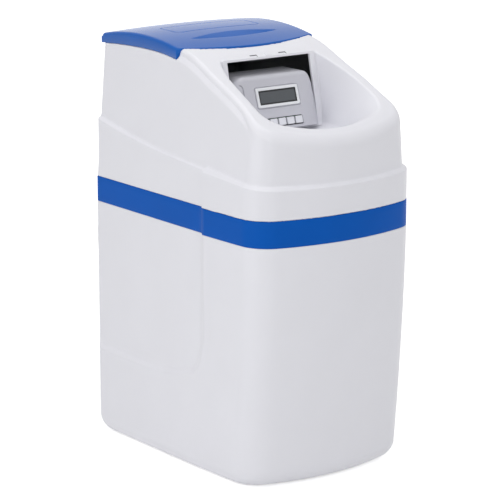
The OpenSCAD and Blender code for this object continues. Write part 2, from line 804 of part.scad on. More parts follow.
module valve_body() color("#33373d") {
    difference() {
        union() {
            translate([0, vessel_y, neck_z - spigot_h]) cylinder(r = neck_r - run_gap, h = spigot_h + 4);
            translate([0, vessel_y, flange_z]) cylinder(r = neck_r + 15, h = 8);
            translate([0, vessel_y, flange_z]) cylinder(r = neck_r + 5, h = valve_z - flange_z);
            along_y(0, valve_y0, valve_z) cylinder(r = body_r, h = valve_y1 - valve_y0);
            for (s = [-1, 1]) {
                along_y(s * port_half, port_y0, valve_z) cylinder(r = port_r, h = port_y1 - port_y0);
                along_x(s > 0 ? 20 : -side_port_x, side_port_y, valve_z)
                    cylinder(r = side_port_r, h = side_port_x - 20);
            }
            along_x(-brine_port_x, vessel_y, brine_port_z) cylinder(r = 9, h = brine_port_x - 10);
        }
        along_y(0, valve_y0 - 1, valve_z) cylinder(r = bore_r, h = stack_y1 - valve_y0 + 1);
        translate([0, vessel_y, neck_z - spigot_h - 1])
            cylinder(r = riser_r + run_gap, h = riser_z1 - neck_z + spigot_h + 2);
        for (s = [-1, 1]) {
            along_y(s * port_half, port_y0 + 8, valve_z) cylinder(r = port_bore_r, h = port_y1 - port_y0);
            along_x(s > 0 ? 0 : -port_half, port_y0 + 24, valve_z) cylinder(r = 5, h = port_half);
            along_x(s > 0 ? body_r - 2 : -side_port_x - 1, side_port_y, valve_z)
                cylinder(r = injector_r, h = side_port_x - body_r + 3);
        }
        along_x(-brine_port_x - 1, vessel_y, brine_port_z) cylinder(r = 5, h = brine_port_x - riser_r - 8);
    }
}

module seal_spacers() color("#e6e2d4") {
    for (k = [0:n_spacer - 1])
        along_y(0, stack_y0 + seal_t + k * (seal_t + spacer_t), valve_z) difference() {
            cylinder(r = bore_r - run_gap, h = spacer_t);
            translate([0, 0, -1]) cylinder(r = piston_r + 3, h = spacer_t + 2);
            for (a = [0, 90]) rotate([0, 0, a]) translate([0, 0, spacer_t / 2])
                rotate([90, 0, 0]) cylinder(r = 4, h = 4 * bore_r, center = true);
        }
}

module piston_seals() color("#1f1f1f") {
    for (k = [0:n_spacer])
        along_y(0, stack_y0 + k * (seal_t + spacer_t), valve_z) difference() {
            cylinder(r = bore_r - run_gap, h = seal_t);
            translate([0, 0, -1]) cylinder(r = piston_r + run_gap, h = seal_t + 2);
        }
}

piston_len = 50;
piston_y0 = stack_y1 - piston_len - 1;
module piston() color("#c9b26a") {
    along_y(0, piston_y0, valve_z) difference() {
        cylinder(r = piston_r, h = piston_len);
        for (g = [12, 30]) translate([0, 0, g]) difference() {
            cylinder(r = piston_r + 1, h = 9);
            translate([0, 0, -1]) cylinder(r = piston_r - 4, h = 11);
        }
    }
}

rod_y0 = valve_y0 - 12;
module piston_rod() color("#b9bec4") {
    along_y(0, rod_y0, valve_z) cylinder(r = rod_r, h = piston_y0 - rod_y0);
}

module end_plug() color("#4a4f57") {
    along_y(0, valve_y0, valve_z) difference() {
        cylinder(r = bore_r - run_gap, h = plug_t);
        translate([0, 0, -1]) cylinder(r = rod_r + run_gap, h = plug_t + 2);
    }
}

// Drive: gears stand on the bracket in front of the valve
bracket_t = 2.7;
bracket_y1 = valve_y0 - fit_gap;
bracket_y0 = bracket_y1 - bracket_t;
main_teeth = 48;
small_teeth = 12;
large_teeth = 36;
pinion_teeth = 10;
gear_gap = 1;
large_t = 5;
main_t = 8;
large_y1 = bracket_y0 - gear_gap;
main_y1 = large_y1 - large_t - gear_gap;
main_y0 = main_y1 - main_t;
reduction_z = valve_z + gear_m * (main_teeth + small_teeth) / 2;
pinion_dir = 45;
pinion_reach = gear_m * (large_teeth + pinion_teeth) / 2;
pinion_x = pinion_reach * cos(pinion_dir);
pinion_z = reduction_z + pinion_reach * sin(pinion_dir);
hub_r = 9.9 * gear_m;
post_r = 3;
motor_r = 13.5;
motor_len = 35;
motor_shaft_r = 1.5;

// Outline of a gear with straight-flanked teeth and free play
function gear_outline(teeth, phase) =
    let (
        r = gear_m * teeth / 2,
        p = 360 / teeth,
        tip = r + 0.75 * gear_m,
        root = r - 1.1 * gear_m
    )
    [for (k = [0:teeth - 1])
        for (q = [[root, -0.3], [r, -0.2], [tip, -0.1], [tip, 0.1], [r, 0.2], [root, 0.3]])
            let (a = phase + p * (k + q[1])) [q[0] * cos(a), q[0] * sin(a)]];
module gear(teeth, phase, t) linear_extrude(t) polygon(gear_outline(teeth, phase));
module facing(x, y1, z) translate([x, y1, z]) rotate([90, 0, 0]) children();

head_z0 = valve_z - gear_m * (main_teeth / 2 + 1) - 5;
head_z1 = hood_z + head_top_h;
bracket_z0 = head_z0 + head_wall + fit_gap;
bracket_z1 = head_z1 - head_wall - fit_gap;
bracket_half_w = head_half_w - head_wall - fit_gap;
module drive_bracket() color("#5b6068") {
    difference() {
        translate([-bracket_half_w, bracket_y0, bracket_z0])
            cube([2 * bracket_half_w, bracket_t, bracket_z1 - bracket_z0]);
        along_y(0, bracket_y0 - 1, valve_z) cylinder(r = hub_r + run_gap, h = bracket_t + 2);
        along_y(pinion_x, bracket_y0 - 1, pinion_z) cylinder(r = motor_shaft_r + 2, h = bracket_t + 2);
    }
    facing(0, bracket_y0 + 0.5, reduction_z) cylinder(r = post_r, h = bracket_y0 - main_y0 + 2);
}

module main_gear() color("#e8e3d0") {
    difference() {
        union() {
            facing(0, main_y1, valve_z) gear(main_teeth, 90, main_t);
            facing(0, bracket_y1, valve_z) cylinder(r = hub_r, h = bracket_y1 - main_y1 + 1);
        }
        along_y(0, main_y0 - 1, valve_z) cylinder(r = rod_r + run_gap, h = 60);
    }
}

module reduction_gear() color("#ded7bf") {
    difference() {
        union() {
            facing(0, large_y1, reduction_z) gear(large_teeth, pinion_dir, large_t);
            facing(0, large_y1 - large_t + 0.5, reduction_z)
                gear(small_teeth, 90 + 180 / small_teeth, large_y1 - large_t + 0.5 - main_y0);
        }
        along_y(0, main_y0 - 1, reduction_z) cylinder(r = post_r + run_gap, h = 60);
    }
}

module motor_pinion() color("#c8a24a") {
    facing(pinion_x, large_y1, pinion_z) gear(pinion_teeth, pinion_dir + 180 + 180 / pinion_teeth, large_t);
    along_y(pinion_x, large_y1 - 1, pinion_z) cylinder(r = motor_shaft_r, h = bracket_y1 - large_y1 + 11);
}

module drive_motor() color("#8b9199") {
    along_y(pinion_x, bracket_y1 + fit_gap / 3, pinion_z) difference() {
        union() {
            cylinder(r = motor_r, h = motor_len);
            translate([0, 0, motor_len]) cylinder(r = 4, h = 4);
        }
        translate([0, 0, -1]) cylinder(r = motor_shaft_r + run_gap, h = 14);
    }
}

// Head cover: the face leans back and holds the display and the buttons
face_z = hood_z + 155.65;
face_y = window_y;
face_low_z = hood_z + 106;
nose_back_y = window_y + 11;
head_back_y = bracket_y1;
head_top_back_y = bracket_y1 + 15;
head_step_z = head_z1 - 36;
button_v = -40.1;
display_fit = 0.2;
display_cut_w = display_w - 3.4;
display_cut_h = display_h - 3.5;
module on_face() translate([0, face_y, face_z]) rotate([90 - face_tilt, 0, 0]) children();
function face_at(z) = face_y + (z - face_z) * tan(face_tilt);
// Rounded edge between the face and the top, from a corner at y and z
n_head_edge = 5;
function head_edge(y, z, r) =
    [for (i = [0:n_head_edge]) let (a = 180 - face_tilt - (90 - face_tilt) * i / n_head_edge)
        [y + r * (tan(45 - face_tilt / 2) + cos(a)), z - r + r * sin(a)]];
function head_profile(off) =
    let (deep = off / cos(face_tilt), z0 = face_low_z + off, z1 = head_z1 - off, open = off > 0 ? 1 : 0)
    [
        each [
            [nose_back_y + off, z0],
            [face_at(z0) + deep, z0]
        ],
        each head_edge(face_at(z1) + deep, z1, head_edge_r - off),
        each [
            [head_top_back_y + open, z1],
            [head_top_back_y + open, head_step_z - open],
            [head_back_y + open, head_step_z - open],
            [head_back_y + open, head_z0 + off],
            [nose_back_y + off, head_z0 + off]
        ]
    ];
module head_form(off) {
    r = head_corner_r - off;
    w = head_half_w - off;
    deep = 150;
    intersection() {
        translate([-head_half_w - 1, 0, 0]) rotate([90, 0, 90])
            linear_extrude(2 * head_half_w + 2) polygon(head_profile(off));
        on_face() translate([0, far, 0]) rotate([90, 0, 0]) linear_extrude(2 * far) union() {
            translate([-w + r, -deep]) square([2 * (w - r), deep - off]);
            translate([-w, -deep]) square([2 * w, deep - off - r]);
            for (s = [-1, 1]) translate([s * (w - r), -off - r]) circle(r);
        }
    }
}

// Bosses that hold the circuit board behind the face
board_t = 1.6;
board_w0 = -7;
board_half_w = 62;
board_v0 = -45;
board_v1 = 31;
boss_u = 55;
boss_v = [-39, 25];
boss_r = 3;
screw_r = 1.2;
keypad_t = 2;
button_out = 1.4;
button_w0 = board_w0 + keypad_t + button_travel + 0.4;
module at_bosses() for (s = [-1, 1]) for (v = boss_v) translate([s * boss_u, v, 0]) children();

module head_cover() color("#c3c6ca") {
    difference() {
        union() {
            difference() {
                head_form(0);
                head_form(head_wall);
            }
            on_face() at_bosses() translate([0, 0, board_w0])
                cylinder(r = boss_r, h = -board_w0 - head_wall / 2);
        }
        on_face() {
            translate([0, 0, -5]) linear_extrude(10) square([display_cut_w, display_cut_h], center = true);
            for (k = [-2:2]) translate([k * button_pitch, button_v, -5]) linear_extrude(10)
                square([button_w + 2 * fit_gap, button_h + 2 * fit_gap], center = true);
            at_bosses() translate([0, 0, board_w0 - 1]) cylinder(r = screw_r + run_gap, h = 5);
            translate([-head_half_w + 14.5, -50, -1.9]) cube([1, 90, 4]);
        }
    }
}

module display_bezel() color("#f2f3f4") {
    out = 1.6;
    on_face() difference() {
        union() {
            linear_extrude(out) square([display_w, display_h], center = true);
            translate([0, 0, -head_wall]) linear_extrude(head_wall + 0.5)
                square([display_cut_w - 2 * display_fit, display_cut_h - 2 * display_fit], center = true);
        }
        translate([0, 0, -10]) linear_extrude(20)
            square([display_w - 2 * display_border, display_h - 2 * display_border], center = true);
    }
}

module display_lens() color("#4a5557") {
    on_face() translate([0, 0, -head_wall]) linear_extrude(head_wall - 0.6) square([
        display_w - 2 * display_border - 2 * display_fit,
        display_h - 2 * display_border - 2 * display_fit
    ], center = true);
}

// Circuit board with the display soldered on it
module circuit_board() color("#2f6b45") {
    on_face() translate([0, 0, board_w0]) linear_extrude(-board_w0 - head_wall - display_fit)
        square([display_w - 2, display_h - 3], center = true);
    on_face() difference() {
        translate([-board_half_w, board_v0, board_w0 - board_t])
            cube([2 * board_half_w, board_v1 - board_v0, board_t]);
        at_bosses() translate([0, 0, board_w0 - board_t - 1]) cylinder(r = screw_r + 0.4, h = board_t + 2);
    }
}

module keypad() color("#6f7479") {
    on_face() translate([0, button_v, board_w0]) linear_extrude(keypad_t)
        square([4 * button_pitch + button_w + 2, button_h - 2], center = true);
}

module board_screws() color("#a7abb0") {
    on_face() at_bosses() {
        translate([0, 0, board_w0 - board_t - 2]) cylinder(r = 2.6, h = 2);
        translate([0, 0, board_w0 - board_t - 1]) cylinder(r = screw_r, h = board_t + 4.5);
    }
}

// Button number k, counted from the left
module button(k) color("#d7dadd") {
    on_face() translate([(k - 3) * button_pitch, button_v, button_w0])
        linear_extrude(button_out - button_w0) square([button_w, button_h], center = true);
}

module power_socket() color("#202226") {
    translate([socket_x, back_y, socket_z]) difference() {
        union() {
            along_y(0, -16, 0) cylinder(r = socket_body_r, h = 17);
            along_y(0, fit_gap / 3, 0) cylinder(r = socket_body_r + 3, h = 2);
            along_y(0, -hood_wall - 3, 0) cylinder(r = socket_body_r + 3, h = 3 - fit_gap / 3, $fn = 6);
        }
        along_y(0, -10, 0) cylinder(r = socket_r, h = 20);
    }
}

// Injector on the right of the valve, drain elbow on its left
module injector() color("#d8d4c4") {
    along_x(body_r - 1, side_port_y, valve_z) difference() {
        union() {
            cylinder(r = injector_r - run_gap, h = 14);
            translate([0, 0, 14]) cylinder(r = injector_r - 3, h = 8);
        }
        translate([0, 0, -1]) cylinder(r = 1.5, h = 30);
    }
}

module injector_cap() color("#44484f") {
    along_x(side_port_x, side_port_y, valve_z) {
        cylinder(r = side_port_r, h = 6);
        translate([0, 0, -2]) cylinder(r = injector_r - fit_gap, h = 4);
        translate([0, 0, 6]) cylinder(r = side_port_r - 2, h = 5, $fn = 6);
    }
}

drain_r = 6.5;
module drain_elbow() color("#3b3f45") {
    x1 = -side_port_x - 12;
    difference() {
        union() {
            along_x(-side_port_x - 12, side_port_y, valve_z) cylinder(r = 9, h = 12);
            along_x(-side_port_x - 1, side_port_y, valve_z) cylinder(r = injector_r - run_gap, h = 15);
            translate([x1, side_port_y, valve_z - 9]) cylinder(r = 9, h = 20);
            translate([x1, side_port_y, valve_z]) cylinder(r = drain_r, h = 40);
        }
        translate([x1, side_port_y, valve_z - 4]) cylinder(r = drain_r - 1.8, h = 60);
        for (k = [0:2]) translate([x1, side_port_y, valve_z + 18 + 7 * k]) difference() {
            cylinder(r = drain_r + 2, h = 2);
            translate([0, 0, -1]) cylinder(r = drain_r - 0.6, h = 4);
        }
        along_x(x1, side_port_y, valve_z) cylinder(r = drain_r - 2, h = 40);
    }
}

// Flow meter in the outlet
turbine_y = port_y1 - 28;
axle_r = 1.5;
axle_len = 18;
module meter_turbine() color("#3f78c9") {
    along_y(port_half, turbine_y - axle_len / 2, valve_z) {
        cylinder(r = axle_r, h = axle_len);
        translate([0, 0, 4]) cylinder(r = 3.5, h = axle_len - 8);
        for (k = [0:5]) rotate([0, 0, 60 * k]) translate([2, -0.6, 4.5])
            cube([port_bore_r - 5, 1.2, axle_len - 9]);
    }
}

module turbine_cage() color("#e9e9e9") {
    spider_t = 3;
    for (y = [turbine_y - axle_len / 2, turbine_y + axle_len / 2 - spider_t])
        along_y(port_half, y, valve_z) linear_extrude(spider_t) difference() {
            union() {
                difference() {
                    circle(port_bore_r - run_gap);
                    circle(port_bore_r - 2);
                }
                circle(3);
                for (k = [0:2]) rotate(120 * k + 30) translate([2, -0.8]) square([port_bore_r - 3.2, 1.6]);
            }
            circle(axle_r + run_gap);
        }
}

// Bypass behind the valve: a rotor with a handle in each line
bypass_y0 = port_y1 + fit_gap;
bypass_y1 = bypass_y0 + 74;
rotor_y = bypass_y0 + 38;
bypass_r = port_r + 1;
rotor_r = 13;
rotor_z0 = valve_z - 16;
boss_top = valve_z + 33;
spigot_r = port_bore_r - 0.4;
spigot_len = 11;
ring_y = bypass_y0 - 6.5;
ring_t = 2.4;
module bypass_body() color("#2f3339") {
    difference() {
        union() {
            for (s = [-1, 1]) {
                along_y(s * port_half, bypass_y0, valve_z)
                    cylinder(r = bypass_r, h = bypass_y1 - bypass_y0);
                along_y(s * port_half, bypass_y0 - spigot_len, valve_z)
                    cylinder(r = spigot_r, h = spigot_len + 2);
                translate([s * port_half, rotor_y, valve_z - bypass_r])
                    cylinder(r = rotor_r + 4, h = boss_top - valve_z + bypass_r);
            }
            along_x(-port_half, rotor_y, valve_z) cylinder(r = 14, h = 2 * port_half);
        }
        for (s = [-1, 1]) {
            along_y(s * port_half, bypass_y0 - spigot_len - 1, valve_z) cylinder(r = 10, h = 120);
            translate([s * port_half, rotor_y, rotor_z0]) cylinder(r = rotor_r + run_gap, h = 80);
            along_y(s * port_half, ring_y, valve_z) difference() {
                cylinder(r = spigot_r + 2, h = ring_t);
                translate([0, 0, -1]) cylinder(r = 11.2, h = ring_t + 2);
            }
        }
        along_x(-port_half, rotor_y, valve_z) cylinder(r = 9, h = 2 * port_half);
    }
}

module bypass_handle(s) color("#b3262b") {
    rotor_h = boss_top - rotor_z0 + fit_gap;
    translate([s * port_half, rotor_y, 0]) difference() {
        union() {
            translate([0, 0, rotor_z0 + fit_gap]) cylinder(r = rotor_r, h = rotor_h);
            translate([0, 0, boss_top + fit_gap]) cylinder(r = rotor_r + 4, h = 4);
            translate([-6, -24, boss_top + fit_gap + 3]) cube([12, 48, 13]);
        }
        along_y(0, -40, valve_z) cylinder(r = 10, h = 80);
    }
}

module bypass_o_rings() color("#1f1f1f") {
    for (s = [-1, 1]) along_y(s * port_half, ring_y + 0.1, valve_z) difference() {
        cylinder(r = port_bore_r - run_gap, h = ring_t - 0.2);
        translate([0, 0, -1]) cylinder(r = 11.2 + run_gap, h = ring_t + 2);
    }
}

module union_nut(y, nut_l) {
    along_y(0, y, 0) difference() {
        cylinder(r = bypass_r + 7, h = nut_l, $fn = 8);
        translate([0, 0, -1]) cylinder(r = bypass_r + fit_gap, h = nut_l + 2);
    }
}

module bypass_nuts() color("#3c4047") {
    for (s = [-1, 1]) translate([s * port_half, 0, valve_z]) union_nut(bypass_y0 - 12, 26);
}

tail_y0 = bypass_y1 + fit_gap;
tail_y1 = back_y + tail_out;
module connector_nuts() color("#3c4047") {
    for (s = [-1, 1]) translate([s * port_half, 0, valve_z]) union_nut(bypass_y1 - 10, 24);
}

module tail_pieces() color("#c2a55c") {
    for (s = [-1, 1]) along_y(s * port_half, tail_y0, valve_z) difference() {
        union() {
            cylinder(r = bypass_r, h = 5);
            cylinder(r = tail_r, h = tail_y1 - tail_y0);
        }
        translate([0, 0, -1]) cylinder(r = tail_r - 3.2, h = tail_y1 - tail_y0 + 2);
    }
}

// Brine well with the safety float, at the rear left of the tank
brine_x = -(flat_x - tank_wall - brine_well_r - 16);
brine_y = pocket_y - tank_wall - brine_well_r - 16;
brine_top = hood_z - 2;
brine_wall = 2;
module at_brine() translate([brine_x, brine_y, 0]) children();
module brine_well() color("#f2f2ee") {
    at_brine() difference() {
        translate([0, 0, floor_z + 1]) cylinder(r = brine_well_r, h = brine_top - floor_z - 1);
        translate([0, 0, floor_z]) cylinder(r = brine_well_r - brine_wall, h = brine_top);
        for (a = [0:45:135]) for (z = [24, 40, 56]) translate([0, 0, floor_z + z]) rotate([90, 0, a])
            cylinder(r = 3, h = 3 * brine_well_r, center = true);
    }
}

cap_t = 3;
module brine_well_cap() color("#e4e4de") {
    at_brine() difference() {
        translate([0, 0, brine_top - 9]) cylinder(r = brine_well_r + fit_gap + 1.5, h = 9 + cap_t);
        translate([0, 0, brine_top - 10]) cylinder(r = brine_well_r + fit_gap, h = 10);
        translate([0, 0, brine_top - 1]) cylinder(r = brine_line_r + fit_gap, h = cap_t + 2);
    }
}

float_body_h = 52;
float_travel = 25;
float_z1 = brine_top - fit_gap / 3;
float_z0 = float_z1 - float_body_h;
pickup_off = 27;
pickup_r = 5;
float_rod_r = 2.5;
module float_valve() color("#5c6a75") {
    at_brine() difference() {
        union() {
            translate([0, 0, float_z0]) cylinder(r = 13, h = float_body_h);
            translate([-7, -pickup_off, float_z0]) cube([14, pickup_off, 12]);
            translate([0, -pickup_off, float_z0]) cylinder(r = pickup_r + 3, h = 12);
        }
        translate([0, 0, float_z1 - 12]) cylinder(r = brine_line_r + run_gap, h = 14);
        translate([0, 0, float_z0 - 1]) cylinder(r = float_rod_r + run_gap, h = float_travel + 10);
        translate([0, -pickup_off, float_z0 - 1]) cylinder(r = pickup_r + run_gap, h = 9);
    }
}

float_low = 180;
float_r = pickup_off - pickup_r - 2;
module float_rod() color("#e9e6da") {
    at_brine() {
        translate([0, 0, float_low - 30]) cylinder(r = float_rod_r, h = float_z0 - float_low + 35.6);
        translate([0, 0, float_low]) cylinder(r = float_r, h = 60);
    }
}

// Air check: pick-up tube with a caged ball at its foot
check_r = 12;
ball_r = 6.5;
module air_check() color("#dfe3e6") {
    at_brine() translate([0, -pickup_off, 0]) {
        difference() {
            union() {
                translate([0, 0, floor_z + 2]) cylinder(r = check_r, h = 46);
                translate([0, 0, floor_z + 40]) cylinder(r = pickup_r, h = float_z0 + 7 - floor_z - 40);
            }
            translate([0, 0, floor_z + 5]) cylinder(r = check_r - 2, h = 38);
            translate([0, 0, floor_z + 40]) cylinder(r = pickup_r - 1.5, h = float_z0);
            for (a = [0, 90]) translate([0, 0, floor_z + 18]) rotate([90, 0, a])
                cylinder(r = 4, h = 4 * check_r, center = true);
        }
        translate([0, 0, floor_z + 5 + ball_r + fit_gap / 3]) sphere(ball_r);
    }
}

// Brine line from the valve's elbow to the float valve
elbow_x = -brine_port_x - 14;
elbow_bore_r = brine_line_r + run_gap;
module brine_elbow() color("#3b3f45") {
    difference() {
        union() {
            along_x(elbow_x, vessel_y, brine_port_z) cylinder(r = 7.5, h = 14);
            along_x(-brine_port_x - 1, vessel_y, brine_port_z) cylinder(r = 5 - run_gap, h = 13);
            along_y(elbow_x, vessel_y - 8, brine_port_z) cylinder(r = 8, h = 26);
        }
        along_y(elbow_x, vessel_y + 4, brine_port_z) cylinder(r = elbow_bore_r, h = 30);
        along_x(elbow_x, vessel_y, brine_port_z) cylinder(r = 3, h = 40);
    }
}

line_sides = 12;
line_steps = 14;
line_end_z = float_z1 - 11;
// Two straight ends with a smooth bend between them
function line_point(t) =
    let (
        a = [elbow_x, vessel_y + 18, brine_port_z],
        b = [elbow_x, vessel_y + 95, brine_port_z],
        c = [brine_x, brine_y, brine_port_z + 4],
        d = [brine_x, brine_y, brine_top + cap_t + 2],
        s = 1 - t
    )
    s * s * s * a + 3 * s * s * t * b + 3 * s * t * t * c + t * t * t * d;
function unit(v) = v / norm(v);
function line_ring(p, dir) =
    let (side = unit(cross(dir, [1, 0.35, 0])), up = cross(side, dir))
    [for (i = [0:line_sides - 1]) let (a = 360 * i / line_sides)
        p + (brine_line_r - 0.05) * (cos(a) * up + sin(a) * side)];
module brine_line() color("#f3f3f0") {
    start = [elbow_x, vessel_y + 6, brine_port_z];
    end = [brine_x, brine_y, line_end_z];
    skin(concat(
        [line_ring(start, [0, 1, 0])],
        [for (i = [0:line_steps]) let (t = i / line_steps, h = 0.01)
            line_ring(line_point(t), unit(line_point(min(t + h, 1)) - line_point(max(t - h, 0))))],
        [line_ring(end, [0, 0, -1])]
    ));
}

// Overflow elbow through the rear wall, held by a nut inside
module overflow_elbow() color("#f0f1f2") {
    out_y = pocket_y + overflow_flange_t + overflow_reach;
    difference() {
        union() {
            along_y(overflow_x, pocket_y - tank_wall - 9, overflow_z)
                cylinder(r = overflow_stub_r, h = tank_wall + 12);
            along_y(overflow_x, pocket_y + fit_gap / 3, overflow_z)
                cylinder(r = overflow_flange_r, h = overflow_flange_t);
            along_y(overflow_x, pocket_y + 1, overflow_z)
                cylinder(r = overflow_r, h = out_y - pocket_y - 1);
            translate([overflow_x, out_y, overflow_z - overflow_r - 2])
                cylinder(r = overflow_r + 1, h = 2 * overflow_r + 7);
            translate([overflow_x, out_y, overflow_z - overflow_drop])
                cylinder(r = overflow_r, h = overflow_drop - overflow_r);
        }
        along_y(overflow_x, pocket_y - tank_wall - 10, overflow_z)
            cylinder(r = overflow_bore_r, h = out_y - pocket_y + tank_wall + 10);
        translate([overflow_x, out_y, overflow_z - overflow_drop - 1])
            cylinder(r = overflow_bore_r + 1, h = overflow_drop + overflow_r - 1);
    }
}

module overflow_nut() color("#d7dadd") {
    along_y(overflow_x, pocket_y - tank_wall - 7.5, overflow_z) difference() {
        cylinder(r = overflow_stub_r + 6, h = 7.3, $fn = 6);
        translate([0, 0, -1]) cylinder(r = overflow_stub_r + run_gap, h = 10);
    }
}

// Salt grid on legs, cut out around the vessel and the brine well
grid_t = 5;
grid_gap = 1;
slot_w = 5;
slot_l = 24;
slot_pitch = 18;
function slot_free(x, y) =
    abs(x) < half_w - 30
    && norm([x, y - vessel_y]) > vessel_r + slot_l
    && norm([x - brine_x, y - brine_y]) > brine_well_r + slot_l / 1.4;
module salt_grid() color("#d9dce0") {
    z = floor_z + grid_h;
    difference() {
        translate([0, 0, z]) linear_extrude(grid_t) polygon(cabinet_ring(z, tank_wall + grid_gap));
        translate([0, vessel_y, z - 1]) cylinder(r = vessel_r + grid_gap, h = grid_t + 2);
        at_brine() translate([0, 0, z - 1]) cylinder(r = brine_well_r + grid_gap, h = grid_t + 2);
        for (x = [-7 * slot_pitch:slot_pitch:7 * slot_pitch])
            for (y = [front_y + 60:slot_l + 8:back_y - 30])
                if (slot_free(x, y)) translate([x - slot_w / 2, y - slot_l / 2, z - 1])
                    cube([slot_w, slot_l, grid_t + 2]);
    }
    for (p = [[-105, front_y + 100], [105, front_y + 100], [108, back_y - 45], [0, back_y - 45]])
        translate([p[0], p[1], floor_z + 0.2]) cylinder(r = 7, h = grid_h - 0.1);
}

brine_tank();
trim_band();
shroud();
shroud_rear_left();
shroud_rear_right();
window_bezel();
salt_lid();
lid_hinge_pins();
resin_tank();
tank_base();
riser_tube();
bottom_basket();
top_basket();
resin_bed();
tank_o_ring();
valve_body();
seal_spacers();
piston_seals();
piston();
piston_rod();
end_plug();
drive_bracket();
main_gear();
reduction_gear();
motor_pinion();
drive_motor();
head_cover();
display_bezel();
display_lens();
circuit_board();
keypad();
board_screws();
button(1);  // button_1
button(2);  // button_2
button(3);  // button_3
button(4);  // button_4
button(5);  // button_5
power_socket();
injector();
injector_cap();
drain_elbow();
meter_turbine();
turbine_cage();
bypass_body();
bypass_handle(-1);  // bypass_handle_inlet
bypass_handle(1);  // bypass_handle_outlet
bypass_o_rings();
bypass_nuts();
connector_nuts();
tail_pieces();
brine_well();
brine_well_cap();
float_valve();
float_rod();
air_check();
brine_elbow();
brine_line();
overflow_elbow();
overflow_nut();
salt_grid();
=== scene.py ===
import math

import bpy
import numpy as np
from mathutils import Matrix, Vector


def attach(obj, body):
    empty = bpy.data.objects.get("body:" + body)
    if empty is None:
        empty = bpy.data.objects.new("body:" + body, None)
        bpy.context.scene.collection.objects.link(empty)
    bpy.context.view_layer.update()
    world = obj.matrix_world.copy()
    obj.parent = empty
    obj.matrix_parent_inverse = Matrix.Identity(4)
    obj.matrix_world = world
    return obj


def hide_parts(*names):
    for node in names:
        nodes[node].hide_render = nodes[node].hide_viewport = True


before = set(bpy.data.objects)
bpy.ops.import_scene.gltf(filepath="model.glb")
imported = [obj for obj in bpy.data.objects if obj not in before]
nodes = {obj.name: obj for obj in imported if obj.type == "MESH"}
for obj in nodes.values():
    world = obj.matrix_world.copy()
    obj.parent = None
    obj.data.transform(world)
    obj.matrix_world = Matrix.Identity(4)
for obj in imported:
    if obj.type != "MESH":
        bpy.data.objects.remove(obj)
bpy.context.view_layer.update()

MM = 0.001


# Materials: each is procedural, in object space, with its own grain

COAT_ROUGH = 0.12
CLOUD_DETAIL, CLOUD_LOW, CLOUD_HIGH = 3.0, 0.3, 0.7
GRAIN_DETAIL, GRAIN_DEPTH, ROUGH_LEAST = 2.0, 0.0004, 0.02


def srgb(r, g, b):
    def lin(c):
        c = c / 255.0
        return c / 12.92 if c <= 0.04045 else ((c + 0.055) / 1.055) ** 2.4
    return (lin(r), lin(g), lin(b), 1.0)


def shift(c, k):
    return tuple(min(max(v * k, 0.0), 1.0) for v in c[:3]) + (1.0,)


def set_inputs(node, **values):
    """Sets a shader node's inputs; an underscore in a name stands for a space."""
    for key, value in values.items():
        node.inputs[key.replace("_", " ")].default_value = value
    return node


def moulded(name, colour, rough=0.4, vary=0.03, grain=900.0, bump=0.04, cloud=14.0, specular=0.5,
            coat=0.0, metallic=0.0, rough_vary=0.06):
    """Moulded plastic or metal: a slow cloud in the colour, a fine grain in the bump and the gloss."""
    m = bpy.data.materials.new(name)
    m.use_nodes = True
    nt = m.node_tree
    new, link = nt.nodes.new, nt.links.new
    bsdf = set_inputs(nt.nodes["Principled BSDF"], Specular_IOR_Level=specular, Metallic=metallic,
                      Coat_Weight=coat, Coat_Roughness=COAT_ROUGH)
    co = new("ShaderNodeTexCoord")
    n1 = set_inputs(new("ShaderNodeTexNoise"), Scale=cloud, Detail=CLOUD_DETAIL)
    link(co.outputs["Object"], n1.inputs["Vector"])
    ramp = new("ShaderNodeValToRGB")
    for stop, place, k in zip(ramp.color_ramp.elements, (CLOUD_LOW, CLOUD_HIGH), (1.0 - vary, 1.0 + vary)):
        stop.position = place
        stop.color = shift(colour, k)
    link(n1.outputs["Fac"], ramp.inputs["Fac"])
    link(ramp.outputs["Color"], bsdf.inputs["Base Color"])
    n2 = set_inputs(new("ShaderNodeTexNoise"), Scale=grain, Detail=GRAIN_DETAIL)
    link(co.outputs["Object"], n2.inputs["Vector"])
    mr = set_inputs(new("ShaderNodeMapRange"), To_Min=max(rough - rough_vary, ROUGH_LEAST),
                    To_Max=min(rough + rough_vary, 1.0))
    link(n2.outputs["Fac"], mr.inputs["Value"])
    link(mr.outputs["Result"], bsdf.inputs["Roughness"])
    bp = set_inputs(new("ShaderNodeBump"), Strength=bump, Distance=GRAIN_DEPTH)
    link(n2.outputs["Fac"], bp.inputs["Height"])
    link(bp.outputs["Normal"], bsdf.inputs["Normal"])
    return m


WHITE = moulded("cabinet_white_pe", srgb(233, 233, 239), rough=0.42, vary=0.008, grain=1400, bump=0.05)
# mid grey for the hood's inside: painted shade on what is white plastic
HOOD_INSIDE_SHADE = moulded("cabinet_inside_painted_shade", srgb(120, 122, 126), rough=0.6, vary=0.03, grain=1400, bump=0.05)
HOOD = moulded("hood_white_abs", srgb(232, 232, 238), rough=0.36, vary=0.008, grain=1600, bump=0.035)
TRIM = moulded("bezel_white_abs", srgb(232, 232, 238), rough=0.32, vary=0.008, grain=1600, bump=0.03)
BLUE = moulded("trim_blue", srgb(8, 88, 181), rough=0.45, vary=0.03, grain=1500, bump=0.03,
               specular=0.08)
LID = moulded("lid_blue_gloss", srgb(10, 92, 180), rough=0.18, vary=0.02, grain=1500, bump=0.012,
              specular=0.2, rough_vary=0.03)
GREY = moulded("head_grey_abs", srgb(197, 197, 205), rough=0.42, vary=0.012, grain=1700, bump=0.05)
KEY = moulded("key_light_grey", srgb(226, 227, 233), rough=0.34, vary=0.012, grain=1700, bump=0.03)
SHOW_WHITE = moulded("display_frame_white", srgb(233, 235, 238), rough=0.28, vary=0.008, grain=1700,
                     bump=0.02)
